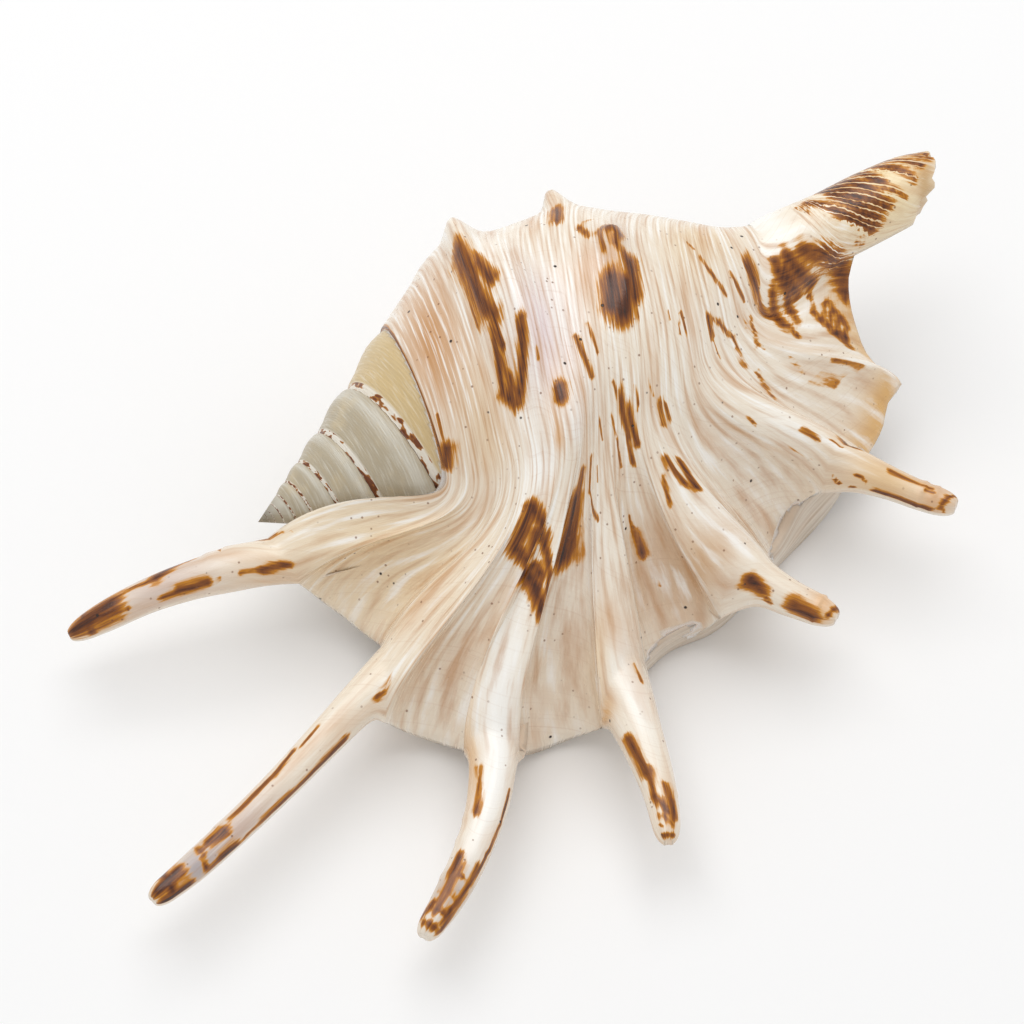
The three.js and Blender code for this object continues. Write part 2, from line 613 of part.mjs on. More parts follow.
// The wall, the spindle and the band as one body, cut flat where it rests and solid in the old
// whorls, which are closed off from the aperture.
function shellGeometry() {
  const wall = solid(closedWall(sheetColumns(upperSheet, false), sheetColumns(lowerSheet, true)));
  const below = boxSolid(FLOOR_CUT, FLOOR_CUT, FLOOR_CUT, new THREE.Vector3(0, 0, -FLOOR_CUT / 2));
  const whole = wall.add(solid(spindle())).add(solid(rolledBand())).subtract(below);
  const outside = whole.simplify(FINEST_DETAIL).decompose()
    .reduce((a, b) => (b.volume() > a.volume() ? b : a));
  const mesh = outside.getMesh();
  const geometry = new THREE.BufferGeometry();
  geometry.setAttribute("position", new THREE.Float32BufferAttribute(mesh.vertProperties, 3));
  geometry.setIndex(Array.from(mesh.triVerts));
  geometry.computeBoundingBox();
  const middle = geometry.boundingBox.getCenter(new THREE.Vector3());
  geometry.translate(-middle.x, -middle.y, -geometry.boundingBox.min.z);
  geometry.computeVertexNormals();
  return geometry;
}

const shellMaterial = new THREE.MeshStandardMaterial({
  color: 0xe9dfd0,
  roughness: 0.38,
  metalness: 0,
});
const shell = new THREE.Mesh(shellGeometry(), shellMaterial);
shell.name = "shell";

const group = new THREE.Group();
group.add(shell);
export default group;
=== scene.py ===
"""Spider conch shell: the fine surface and finish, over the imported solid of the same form.

The shape is worked out in millimetres in the shell's growth frame, where x runs along the coil
axis, and is then moved to the part's frame. A place on the wall is a pair of numbers: the column
k, which counts from the suture (0) to the underside of the canal (28), and t, which runs 0 to 1
round the whorl, 1 to 2 across the lip and 2 to 3 out along a finger."""

import bmesh
import bpy
import numpy as np
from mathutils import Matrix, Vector


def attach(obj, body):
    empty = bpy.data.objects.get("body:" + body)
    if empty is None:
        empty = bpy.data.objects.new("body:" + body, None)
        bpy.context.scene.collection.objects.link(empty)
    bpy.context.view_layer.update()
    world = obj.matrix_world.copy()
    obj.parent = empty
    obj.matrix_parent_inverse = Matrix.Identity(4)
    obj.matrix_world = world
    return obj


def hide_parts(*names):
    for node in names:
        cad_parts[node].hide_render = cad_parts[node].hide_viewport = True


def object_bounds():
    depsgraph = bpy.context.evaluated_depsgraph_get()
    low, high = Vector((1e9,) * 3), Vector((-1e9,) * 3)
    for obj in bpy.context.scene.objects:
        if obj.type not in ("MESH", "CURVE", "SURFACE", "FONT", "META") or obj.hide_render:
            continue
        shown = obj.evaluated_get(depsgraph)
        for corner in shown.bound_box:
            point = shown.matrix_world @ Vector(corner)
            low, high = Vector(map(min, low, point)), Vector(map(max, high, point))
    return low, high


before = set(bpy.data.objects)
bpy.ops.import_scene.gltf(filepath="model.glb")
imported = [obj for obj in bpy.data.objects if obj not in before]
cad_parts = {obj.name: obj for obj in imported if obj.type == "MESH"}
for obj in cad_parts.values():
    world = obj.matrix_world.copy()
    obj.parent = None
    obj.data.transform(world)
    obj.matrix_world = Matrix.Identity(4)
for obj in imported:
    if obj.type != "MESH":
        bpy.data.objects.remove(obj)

CAD_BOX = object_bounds()
MM = 0.001

# Middle of the solid's plan in the growth frame, which the solid's source moves to the origin.
PLAN_CENTRE = np.array([-27.8153, -26.9945, 0.0])

# Coil axis.
APEX_HEIGHT = 22.0
APEX_X = -70.0
AXIS_PITCH = np.radians(4.0)

# Body whorl: radius against distance from the apex along the axis.
BODY_PROFILE = [
    (28, 15.9), (31, 17.8), (36, 20.8), (41, 23.5), (45, 26.0), (48, 27.0), (52, 26.4), (57, 25.5),
    (61, 25.0), (66, 24.4), (70, 23.8), (73, 22.3), (76, 20.3), (82, 16.6), (88, 12.5), (93, 9.0),
    (98, 6.9), (104, 5.9), (128, 5.7), (137, 4.2),
]
WHORL_GROWTH = 0.09
PROFILE_DEG = 33
WALL = 3.0
THINNEST_WALL = 0.36
CALLUS_EDGE_DEG = -105

# Knobs and ridges: distance from the apex, angle round the axis, height, widths and slant.
KNOBS = [
    (49.8, 54, 4.8, 2.8, 20, 0.13),
    (50.3, 92, 4.2, 3.6, 24, 0.13),
    (43.5, 142, 5.0, 6.5, 17, 0.45),
    (69.5, 36, 3.2, 2.0, 9, 0),
    (70.0, 88, 2.6, 2.6, 11, 0.16),
    (70.0, -20, 2.0, 3.0, 14, 0),
    (50.0, -5, 3.0, 3.5, 14, 0),
    (46.5, -92, 4.0, 13, 26, 0),
]

# Columns: distance from the apex at the crest, lean, the angle at which the lip leaves the whorl,
# and how stiffly the lip leaves the whorl and meets its edge.
COLUMNS = np.array([
    (31.0, 0.05, 144, 0.26, 0.62), (33.6, 0.08, 146, 0.30, 0.60), (35.5, 0.08, 146, 0.34, 0.50),
    (38.5, 0.09, 145, 0.40, 0.42), (41.0, 0.10, 143, 0.38, 0.42), (43.8, 0.12, 141, 0.36, 0.40),
    (46.4, 0.14, 140, 0.34, 0.38), (49.5, 0.16, 140, 0.33, 0.44), (52.0, 0.17, 140, 0.32, 0.36),
    (53.8, 0.18, 140, 0.32, 0.36), (55.6, 0.18, 140, 0.32, 0.36), (58.4, 0.19, 141, 0.32, 0.44),
    (60.6, 0.20, 142, 0.32, 0.36), (62.8, 0.20, 143, 0.32, 0.36), (65.0, 0.20, 144, 0.32, 0.36),
    (67.8, 0.19, 145, 0.33, 0.42), (70.2, 0.18, 146, 0.34, 0.38), (72.2, 0.18, 146, 0.34, 0.30),
    (74.4, 0.17, 146, 0.34, 0.32), (77.6, 0.15, 145, 0.34, 0.44), (80.2, 0.14, 144, 0.34, 0.38),
    (82.4, 0.13, 143, 0.34, 0.30), (84.8, 0.11, 142, 0.34, 0.32), (88.2, 0.08, 139, 0.32, 0.36),
    (90.8, 0.05, 141, 0.32, 0.34), (93.0, 0.03, 146, 0.30, 0.34), (97.0, 0.02, 85, 0.30, 0.34),
    (98.0, 0.0, -10, 0.30, 0.34), (99.0, 0.0, -82, 0.30, 0.34),
])
CREST, LEAN, LEAVE, START, END = range(5)
LAST_COLUMN = len(COLUMNS) - 1
LEAN_DEG = 45
LEAN_REST_DEG = 25
LEAN_FADE_DEG = 40
UNDER_SHIFT = 3.5
UNDER_FROM_DEG = 10
UNDER_SPAN_DEG = 110
UNDER_COLUMNS = 12

# Fingers A to F and the siphonal canal G: centre line, radii, columns, the arc of the upper sheet,
# and the wide root that a finger grows out of.
FINGERS = {
    "A": dict(
        root=dict(left=(-69.4, -1.6, 19.0), right=(-67.8, -9.5, 14.5), rise=4.6, depth=3.0),
        line=[(-76.5, -3.6, 17.8), (-82.7, -2.0, 17.3), (-90.6, -0.2, 16), (-98.8, 0.9, 14),
              (-104.7, 1.7, 12)],
        radii=[3.8, 3.3, 2.9, 2.5, 1.7], columns=(0, 2), arc=(12, 174)),
    "B": dict(
        root=dict(left=(-61.6, -26.4, 12.5), right=(-67.8, -38.6, 11.5), rise=6.4, depth=3.0),
        line=[(-71.1, -35, 14), (-78.4, -37.4, 13), (-88.4, -41.4, 13), (-98.4, -45, 13),
              (-108.7, -48.3, 13), (-116.5, -50.3, 13)],
        radii=[3.5, 3.1, 2.8, 2.6, 2.4, 1.9], columns=(4, 6), arc=(6, 174)),
    "C": dict(
        root=dict(left=(-59.3, -49.3, 10.5), right=(-51.5, -54.2, 10.5), rise=7.0, depth=3.0),
        line=[(-56.9, -54.7, 12.8), (-61, -60.4, 12), (-65.4, -65, 12), (-70.4, -69.3, 12),
              (-76, -73.3, 12), (-82.3, -77.1, 12)],
        radii=[4.0, 3.5, 3.1, 2.9, 2.6, 1.9], columns=(8, 10), arc=(6, 174)),
    "D": dict(
        root=dict(left=(-37.0, -56.0, 9.5), right=(-25.2, -50.2, 11), rise=8.4, depth=3.0),
        line=[(-33.4, -60.2, 13.4), (-36.4, -73.0, 12.6), (-38.3, -78, 12.5), (-40.1, -81.8, 12.5)],
        radii=[4.1, 2.8, 2.4, 1.9], columns=(12, 14), arc=(6, 174)),
    "E": dict(
        root=dict(left=(-10.2, -48.3, 12), right=(2.2, -44, 12.5), rise=9.6, depth=2.6),
        line=[(-1.9, -49.4, 16.2), (0.5, -53.1, 15.6), (3.1, -56.6, 15), (5.2, -60, 15)],
        radii=[3.8, 3.1, 2.7, 2.3], columns=(16, 18), arc=(6, 174)),
    "F": dict(
        root=dict(left=(16.7, -37.3, 15), right=(24.3, -34.9, 16), rise=9.2, depth=2.4),
        line=[(22.6, -39.8, 19.4), (25.9, -43.6, 18.6), (29.2, -47.9, 18), (33, -52.7, 18)],
        radii=[3.5, 2.8, 2.5, 2.3], columns=(20, 22), arc=(6, 174)),
    "G": dict(
        root=None,
        line=[(41.5, -0.4, 30.6), (50.2, -0.7, 31.6), (56.3, -1.1, 32.3), (61.6, -1.6, 33)],
        radii=[6.4, 6.3, 5.9, 4.8], columns=(25, 28), arc=(-14, 262)),
}
CANAL = "G"
CANAL_WALL = 2.0
CANAL_CUT = 8.0
CANAL_LONGEST_DEG = 110
RIDGE_EASE = 0.7
GROOVE_DEPTH = 0.42
GROOVE_HALF_DEG = 26

# Edge of the lip between two fingers, and how steeply the lip comes down to it.
WEBS = [
    ("A", "B", 1.2, [(-64.9, -10.8, 10), (-62.4, -14.2, 7.5), (-60.9, -18, 6.5), (-60.4, -22.6, 8.5)]),
    ("B", "C", 2.4, [(-63.8, -38.8, 6), (-60.2, -41.5, 4), (-57.8, -46.2, 6)]),
    ("C", "D", 2.4, [(-49.8, -51.4, 6), (-44.8, -50.7, 3), (-39.8, -51.7, 3.4), (-36.6, -54, 6)]),
    ("D", "E", 1.5, [(-22.4, -46.4, 6.5), (-18, -44.5, 5), (-13.2, -45.2, 5), (-10.3, -46.8, 8)]),
    ("E", "F", 2.0, [(4.8, -41, 7.5), (6.9, -39, 5), (9.6, -36.4, 6), (12.4, -34.7, 9),
                     (15.2, -35.6, 12.5)]),
    ("F", "G", 1.6, [(26.8, -33, 12), (29.4, -31.4, 9), (34.4, -28.6, 10), (38, -25.1, 12),
                     (41, -24.1, 14), (38.7, -22.1, 16), (36.4, -19.3, 20), (36.6, -15.4, 23),
                     (37.6, -11.7, 25), (39.3, -8.6, 27)]),
]
EDGE_THICKNESS = 1.9
EDGE_SETBACK = 0.6
EDGE_FREEDOM = 0.8
UNDER_EDGE_FALL = 0.1
LINING_FROM = (2, 6)
LINING_TO = (21, 24)
LINING_HEIGHT = 6.0
LINING_PLUNGE = 0.5
LINING_DROP = 0.30
LINING_RUN = 0.22

# Rolled band under the lip.
BAND_TOP = [(-26.2, -48.4, 7.6), (-17.6, -44.9, 5.6), (-8, -45.4, 7.4), (1, -42.4, 9.6),
            (8.2, -38.6, 6.6), (15, -35.4, 10.6), (22, -33.9, 13), (29.2, -31.2, 10.4)]
BAND_FOOT = [(-25.5, -46.8, -0.3), (-17, -44, -0.3), (-8.2, -44.3, -0.3), (0.6, -41.6, -0.3),
             (8.2, -38.4, -0.3), (15, -36, -0.3), (21.4, -34, 2), (28.6, -30.8, 7)]
BAND_THICKNESS = 2.4
BAND_SECTION = [(-0.15, 0), (-0.5, -0.05), (-0.9, 0.1), (-1, 0.5), (-0.9, 1.05), (-0.1, 1.05),
                (0.15, 0.5), (0, 0.2)]
BAND_LENGTH = 60
BAND_HEIGHT = 8
BAND_STEP_HEIGHT = 0.12
BAND_STEPS = 14

# Spire.
SPIRE_SLOPE = 0.56
LAST_SUTURE = 34.5
LAST_SUTURE_DEG = 26
WHORL_RATIO = 1.5
SPIRE_TURNS = 5
ROLL_HEIGHT = 0.05
ROLL_START = 0.35
SUTURE_DEPTH = 1.1
SUTURE_WIDTH = 0.16

# Fine relief of the spire, as shares of its radius and, for places and widths, of a whorl.
GROOVE_CUT = 0.022
GROOVE_WIDTH = 0.018
LOW_CORD_HEIGHT = 0.012
LOW_CORD_PLACE = 0.055
LOW_CORD_WIDTH = 0.03
THREAD_HEIGHT = 0.0022
THREADS = 11

# Looks of the spire, with places and widths in whorls: the last ones are yellowish, the roll before
# a suture is pale, and the suture's dark line is followed by a white band with flecks in it.
YOUNG_FROM = -1.5
YOUNG_SPAN = 0.7
ROLL_PLACE = 0.82
ROLL_WIDTH = 0.12
LINE_HALF_WIDTH = 0.014
WHITE_FROM = 0.155
WHITE_TO = 0.115
FLECKS_PLACE = 0.070
FLECKS_HALF_WIDTH = 0.062
FLECKS_PER_RADIAN = 4.5
FLECKS_PER_WHORL = 9.0
FLECKS_SHIFT = 3.7
HAIRLINE_RADIANS = 150.0

# The columella: its radius and how far it drops below the axis, against distance from the apex.
SPINDLE_PROFILE = [(34.5, 19.3), (38, 17.2), (44, 13.6), (52, 11.4), (62, 10.4), (74, 8.6),
                   (86, 5.6), (96, 3.6), (108, 2.6), (118, 1.6)]
SPINDLE_DROP = [(30, 0), (38, 2.0), (46, 8.0), (54, 10.5), (64, 10.4), (76, 9.0), (86, 5.6),
                (96, 2.4), (118, 2.2)]

# Fineness of the mesh.
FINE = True
STEPS_PER_COLUMN = 9 if FINE else 4
BODY_ROWS = 74 if FINE else 30
LIP_ROWS = 44 if FINE else 20
FINGER_ROWS = 48 if FINE else 20
SPINDLE_SIDES = 96 if FINE else 48
RINGS_PER_TURN = 32 if FINE else 14
SPINDLE_RINGS = 40 if FINE else 16
BAND_RINGS = 120 if FINE else 50
BAND_SIDES = 24
STEP = 1e-3

# Relief: spiral cords run along the columns, finer growth lines cross them. The cords are uneven in
# place and height, waver, are worn down where t is small, and fade out towards the fingers.
CORD_SPACING = 1.2
CORD_HEIGHT = 0.10
CORD_BLUNTNESS = 0.7
CORD_MEAN = 0.65
CORD_SPREAD = 0.35
CORD_SHIFT = 0.5
CORD_WAVER = 0.22
CORD_WAVER_LENGTH = 11
WORN_UP_TO = 0.25
WORN_EASE = 0.15
WORN_LEFT = 0.35
FADE_FROM = 1.7
FADE_SPAN = 0.5
FADE_SHARE = 0.75
GROWTH_SPACING = 2.6
GROWTH_HEIGHT = 0.06

# Swellings on the knobs: column, t, height in mm, spread in columns and in t.
SWELLINGS = [
    (15.7, 0.762, 0.9, 0.8, 0.016), (15.9, 0.845, 1.0, 1.0, 0.036), (11.4, 0.62, 0.5, 0.8, 0.05),
    (5.7, 0.80, 0.9, 0.9, 0.07), (9.6, 1.05, 0.5, 1.0, 0.09),
]

# Tucks: beside these finger roots the lining would come through the outer skin, so it is drawn in
# there: column, t, depth in mm, spread in columns and in t.
TUCKS = [(2.5, 1.91, 0.9, 0.5, 0.07), (10.25, 1.97, 1.4, 0.7, 0.07), (16.0, 1.97, 0.6, 0.5, 0.05)]

# Collars on the fingers, where growth paused: finger, t, height of the step in mm.
COLLARS = [("A", 2.23, 0.16), ("A", 2.32, 0.20), ("B", 2.71, 0.15), ("C", 2.415, 0.18),
           ("C", 2.53, 0.16), ("C", 2.72, 0.20), ("D", 2.74, 0.12), ("E", 2.83, 0.24),
           ("F", 2.74, 0.24), ("F", 2.84, 0.18)]
COLLAR_WIDTH = 0.02
COLLAR_OUTWARD = 0.4
COLLAR_INWARD = 1.6
COLLAR_RAG = 0.012
COLLAR_REACH = 0.3

# Tips of the fingers: the length in mm over which they round off, what is left of the section at
# the very end, how much of the quarter circle is used, how deep the chips are as a share of the
# radius and how far apart in degrees. The canal's end has chips of its own, in mm and degrees.
TIP_LENGTH = 2.4
TIP_LEFT = 0.42
TIP_ROUND = 0.98
TIP_CHIP = 0.16
TIP_CHIP_DEG = 24
CANAL_RAG = 1.3
CANAL_RAG_DEG = 9

# On the canal the cords run aslant: millimetres along the axis for one degree round it, their
# spacing against the whorl's and where their count starts. They turn aslant past a column and a t,
# each with the span over which that happens.
CANAL_CORD_SLANT = 0.13
CANAL_CORD_SCALE = 0.68
CANAL_CORD_START = 29.7
CANAL_CORD_FROM = (24.6, 1.6)
CANAL_CORD_EASE = (0.8, 0.3)

# Where the finish of the whorl changes to that of the fingers, and over what span of t.
FINGER_LOOK_FROM = 1.8
FINGER_LOOK_SPAN = 0.4

APEX = np.array([APEX_X, 0.0, APEX_HEIGHT])
AXIS = np.array([np.cos(AXIS_PITCH), 0.0, np.sin(AXIS_PITCH)])
LIFT = np.array([-np.sin(AXIS_PITCH), 0.0, np.cos(AXIS_PITCH)])
BACK = np.array([0.0, 1.0, 0.0])
UP = np.array([0.0, 0.0, 1.0])


def unit(a):
    """Vectors scaled to length one."""
    return a / np.maximum(np.linalg.norm(a, axis=-1, keepdims=True), 1e-12)


def bell(x, width):
    """One at zero, falling off as the square of the distance over the width."""
    return np.exp(-((x / width) ** 2))


def smooth(x):
    """Zero below 0, one above 1, with level ends between them."""
    t = np.clip(x, 0, 1)
    return t * t * (3 - 2 * t)


def spline(at, places, values):
    """Smooth curve through values: a cubic between neighbours, whose slope at each value is weighed
    from the slopes on both sides of it."""
    places = np.asarray(places, float)
    values = np.asarray(values, float)
    rows = values.reshape(len(places), -1)
    gaps = np.diff(places)[:, None]
    slopes = np.diff(rows, axis=0) / gaps
    inner = (slopes[:-1] * gaps[1:] + slopes[1:] * gaps[:-1]) / (gaps[:-1] + gaps[1:])
    tangents = np.concatenate([slopes[:1], inner, slopes[-1:]])
    at = np.clip(np.asarray(at, float), places[0], places[-1])
    i = np.clip(np.searchsorted(places, at, side="right") - 1, 0, len(places) - 2)
    wide = gaps[i]
    t = ((at - places[i]) / gaps[i, 0])[..., None]
    found = ((2 * t**3 - 3 * t**2 + 1) * rows[i] + (t**3 - 2 * t**2 + t) * wide * tangents[i]
             + (3 * t**2 - 2 * t**3) * rows[i + 1] + (t**3 - t**2) * wide * tangents[i + 1])
    return found[..., 0] if values.ndim == 1 else found


def profile(u, pairs):
    """A value that depends on the distance from the apex."""
    return spline(u, [p[0] for p in pairs], [p[1] for p in pairs])


def reach_of(points):
    """Share of the whole length at which each point of a line lies."""
    steps = np.linalg.norm(np.diff(np.asarray(points, float), axis=0), axis=1)
    sums = np.concatenate([[0.0], np.cumsum(steps)])
    return sums / sums[-1]


def column_value(k, key):
    return spline(k, np.arange(LAST_COLUMN + 1), COLUMNS[:, key])


def plain_radius(u, psi):
    """The profile's radius, which grows evenly with the angle round the axis."""
    return profile(u, BODY_PROFILE) * (1 + WHORL_GROWTH * np.clip((psi - PROFILE_DEG) / 100, -1.5, 1.2))


def knob_height(u, psi):
    """Sum of the knobs: each is a bell along the axis times a bell round it."""
    total = 0.0
    for place, turn, high, wide, wide_deg, slant in KNOBS:
        total = total + high * bell(u + slant * (psi - turn) - place, wide) * bell(psi - turn, wide_deg)
    return total


def whorl_point(u, psi, radius):
    """Distance u along the axis, then the radius out at the angle psi: 0 back, 90 up, 180 front."""
    angle = np.radians(psi)
    u, radius = np.asarray(u), np.asarray(radius)
    return (APEX + u[..., None] * AXIS
            + (radius * np.cos(angle))[..., None] * BACK + (radius * np.sin(angle))[..., None] * LIFT)


def column_u(k, psi):
    """Where column k lies along the axis at psi: it leans over the crest, and under the body the
    columns near the spire draw together."""
    q = psi - 90
    past = -q - LEAN_DEG
    bend = np.where(past < 0, q, -LEAN_DEG - LEAN_REST_DEG * np.tanh(past / LEAN_FADE_DEG))
    under = (UNDER_SHIFT * smooth((UNDER_FROM_DEG - psi) / UNDER_SPAN_DEG)
             * np.clip(1 - k / UNDER_COLUMNS, 0, 1))
    return column_value(k, CREST) - column_value(k, LEAN) * bend - under


def outer_point(k, psi):
    u = column_u(k, psi)
    return whorl_point(u, psi, plain_radius(u, psi) + knob_height(u, psi))


def inner_point(k, psi):
    u = column_u(k, psi)
    plain = plain_radius(u, psi)
    return whorl_point(u, psi, plain - np.minimum(WALL, plain * THINNEST_WALL))


def fall_at(k):
    """How steeply the lip comes down to its edge at column k."""
    middles = [(FINGERS[a]["columns"][1] + FINGERS[b]["columns"][0]) / 2 for a, b, _, _ in WEBS]
    return spline(k, middles, [web[2] for web in WEBS])


def finger_section(finger, v):
    """Section of a finger at v, 0 at the root and 1 at the tip: the centre line and the two sides
    are smooth curves, and the section stands square to the line."""
    points = np.array(finger["line"], float)
    radii = np.array(finger["radii"], float)
    index = np.arange(len(points))
    tangents = unit(points[np.minimum(index + 1, index[-1])] - points[np.maximum(index - 1, 0)])
    sides = unit(np.cross(UP, tangents))
    left = points - sides * radii[:, None]
    right = points + sides * radii[:, None]
    rise = radii
    depth = radii
    root = finger["root"]
    if root:
        left = np.vstack([root["left"], left])
        right = np.vstack([root["right"], right])
        rise = np.append(root["rise"], rise)
        depth = np.append(root["depth"], depth)
    middle = (left + right) / 2
    reach = reach_of(middle)
    along = (spline(np.clip(v + STEP, 0, 1), reach, middle)
             - spline(np.clip(v - STEP, 0, 1), reach, middle))
    share = np.zeros_like(v)
    if root:
        share = 1 - smooth(v / reach[1])
        along[..., 2] *= smooth((v / reach[1] - 1) / 2)
    along = unit(along)
    across = spline(v, reach, right) - spline(v, reach, left)
    side = unit(across)
    return dict(centre=spline(v, reach, middle), along=along, side=side,
                up=unit(np.cross(along, side)), half=np.linalg.norm(across, axis=-1) / 2,
                rise=spline(v, reach, rise), depth=spline(v, reach, depth), root=share)


def tip_share(name, v, turn):
    """What is left of a finger's radius at v: all of it up to the tip, then the quarter of a circle
    down to a blunt end, with chips that depend on the angle round it. The canal has no tip."""
    if name == CANAL:
        return np.ones_like(v)
    length = np.linalg.norm(np.diff(FINGERS[name]["line"], axis=0), axis=1).sum()
    past = np.clip(1 - (1 - v) * length / TIP_LENGTH, 0, 1)
    chips = TIP_CHIP * past * wave(turn / TIP_CHIP_DEG + len(FINGERS[name]["line"]) * 2, 4)
    return 1 - (1 - TIP_LEFT) * (1 - np.sqrt(1 - TIP_ROUND * past**2)) + np.minimum(chips, 0)


def finger_point(name, k, v, lower):
    """A point on a finger's skin: round the section by k, out along it by v. The underside has a
    groove; the canal is a trough, whose lower sheet is its lining and whose end is cut aslant."""
    finger = FINGERS[name]
    k, v = np.broadcast_arrays(np.asarray(k, float), np.asarray(v, float))
    section = finger_section(finger, v)
    first, last = finger["columns"]
    arc = finger["arc"]
    turn = arc[0] + (arc[1] - arc[0]) * (k - first) / (last - first)
    angle = np.radians(turn)
    wide = section["half"] * tip_share(name, v, turn)
    high = section["rise"] * tip_share(name, v, turn)
    if lower and name == CANAL:
        wide = wide - CANAL_WALL
        high = high - CANAL_WALL
    elif lower:
        groove = GROOVE_DEPTH * bell(turn - 90, GROOVE_HALF_DEG)
        high = -section["depth"] * tip_share(name, v, -turn) * (1 - groove)
    swell = np.sin(angle)
    point = (section["centre"] - (wide * np.cos(angle))[..., None] * section["side"]
             + (high * swell)[..., None] * section["up"])
    if name == CANAL:
        shorter = CANAL_CUT * (1 - np.cos(np.radians(turn - CANAL_LONGEST_DEG))) / 2
        shorter = shorter + CANAL_RAG * np.abs(wave(turn / CANAL_RAG_DEG, 6)) * smooth(4 * v - 3)
        point = point - (shorter * smooth(2 * v - 1))[..., None] * section["along"]
    falling = 0 if lower or name == CANAL else fall_at(k) * (1 - RIDGE_EASE * swell) * section["root"]
    along = unit(section["along"] - np.multiply(falling, np.ones_like(swell))[..., None] * UP)
    return point, along


def finger_of(k):
    """Name of the finger that has the column k, or None."""
    for name, finger in FINGERS.items():
        if finger["columns"][0] - 1e-6 <= k <= finger["columns"][1] + 1e-6:
            return name
    return None


def edge_at(columns, lower):
    """The wall's edge at each column, and the direction in which the wall arrives there: on a
    finger its root section, between fingers a smooth curve through the web's points."""
    point = np.zeros((len(columns), 3))
    along = np.zeros((len(columns), 3))
    for name, finger in FINGERS.items():
        on = (columns >= finger["columns"][0] - 1e-6) & (columns <= finger["columns"][1] + 1e-6)
        point[on], along[on] = finger_point(name, columns[on], 0.0, lower)
    for first, second, _, edge in WEBS:
        left = FINGERS[first]["columns"][1]
        right = FINGERS[second]["columns"][0]
        on = (columns > left + 1e-6) & (columns < right - 1e-6)
        k = columns[on]
        start, start_along = finger_point(first, left, 0.0, lower)
        finish, finish_along = finger_point(second, right, 0.0, lower)
        points = np.vstack([start, edge, finish])
        share = (k - left) / (right - left)
        place = spline(share, reach_of(points), points)
        chord = finish - start
        away = np.cross(unit(chord * (1, 1, 0)), UP)
        free = (np.sin(np.pi * share) ** EDGE_FREEDOM)[:, None]
        fall = np.full(len(k), UNDER_EDGE_FALL) if lower else fall_at(k)
        outward = unit(away - fall[:, None] * UP)
        share = share[:, None]
        along[on] = unit(start_along * (1 - share) * (1 - free) + finish_along * share * (1 - free)
                         + outward * free)
        if lower:
            place = place - UP * EDGE_THICKNESS * free - away * EDGE_SETBACK * free
        point[on] = place
    return point, along


def sheet(columns, t, lower):
    """The upper sheet or the lining on the grid of columns and t. Up to t = 1 it lies round the
    whorl. Beyond, it is a cubic curve that leaves the whorl along it and meets the edge."""
    surface = inner_point if lower else outer_point
    leave = column_value(columns, LEAVE)
    k = columns[:, None]
    psi = CALLUS_EDGE_DEG + (leave[:, None] - CALLUS_EDGE_DEG) * np.minimum(t, 1)[None, :]
    round_whorl = surface(np.broadcast_to(k, psi.shape), psi)
    start = surface(columns, leave)
    onward = unit(start - surface(columns, leave - 1))
    edge, along = edge_at(columns, lower)
    span = np.linalg.norm(edge - start, axis=-1, keepdims=True)
    drop = column_value(columns, START)[:, None]
    run = column_value(columns, END)[:, None]
    flat = np.zeros((len(columns), 1))
    if lower:
        flat = (smooth((k - LINING_FROM[0]) / (LINING_FROM[1] - LINING_FROM[0]))
                * smooth((LINING_TO[1] - k) / (LINING_TO[1] - LINING_TO[0])))
        level = unit((edge - start) * (1, 1, 0))
        along = unit(along + (level - along) * flat)
        drop = drop + LINING_DROP * flat
        run = run + LINING_RUN * flat
        onward = unit(onward + (-UP - onward) * LINING_PLUNGE * flat)
    second = start + onward * drop * span
    third = edge - along * run * span
    third[:, 2] += (LINING_HEIGHT - third[:, 2]) * flat[:, 0]
    w = np.clip(t - 1, 0, 1)[None, :, None]
    s = 1 - w
    lip = (start[:, None] * s**3 + second[:, None] * 3 * s * s * w + third[:, None] * 3 * s * w * w
           + edge[:, None] * w**3)
    return np.where((t > 1)[None, :, None], lip, round_whorl)


def wave(x, seed):
    """A smooth irregular wave about zero, seldom beyond one: five sines whose pitches share no
    common measure. The seed shifts them against one another."""
    pitch = np.array([1.0, 1.618, 2.414, 3.303, 4.236])
    phase = np.array([0.3, 1.7, 4.1, 2.6, 5.3]) * (1 + seed)
    return np.sin(np.asarray(x)[..., None] * pitch + phase).mean(axis=-1) * 1.6


def cord_place(k, t, points):
    """Millimetres across the cords: the distance along the axis at the column's crest, and on the
    canal the point's own distance less its turn round the axis, so that cords run aslant."""
    away = points - APEX
    turn = np.degrees(np.arctan2(away @ LIFT, away @ BACK))
    turn = np.where(turn < -90, turn + 360, turn)
    aslant = CANAL_CORD_START + CANAL_CORD_SCALE * (away @ AXIS - CANAL_CORD_SLANT * (turn - 90))
    share = (smooth((k - CANAL_CORD_FROM[0]) / CANAL_CORD_EASE[0])
             * smooth((t - CANAL_CORD_FROM[1]) / CANAL_CORD_EASE[1]))
    return column_value(k, CREST) * (1 - share) + aslant * share, share


def cord_number(across, along):
    """Cords counted across the shell: whole on a cord's back. Their spacing is uneven, and they
    waver a little along their way."""
    uneven = CORD_SHIFT * wave(across * 0.62, 7)
    waver = CORD_WAVER * wave(along / CORD_WAVER_LENGTH + across * 0.35, 1)
    return across / CORD_SPACING + uneven + waver


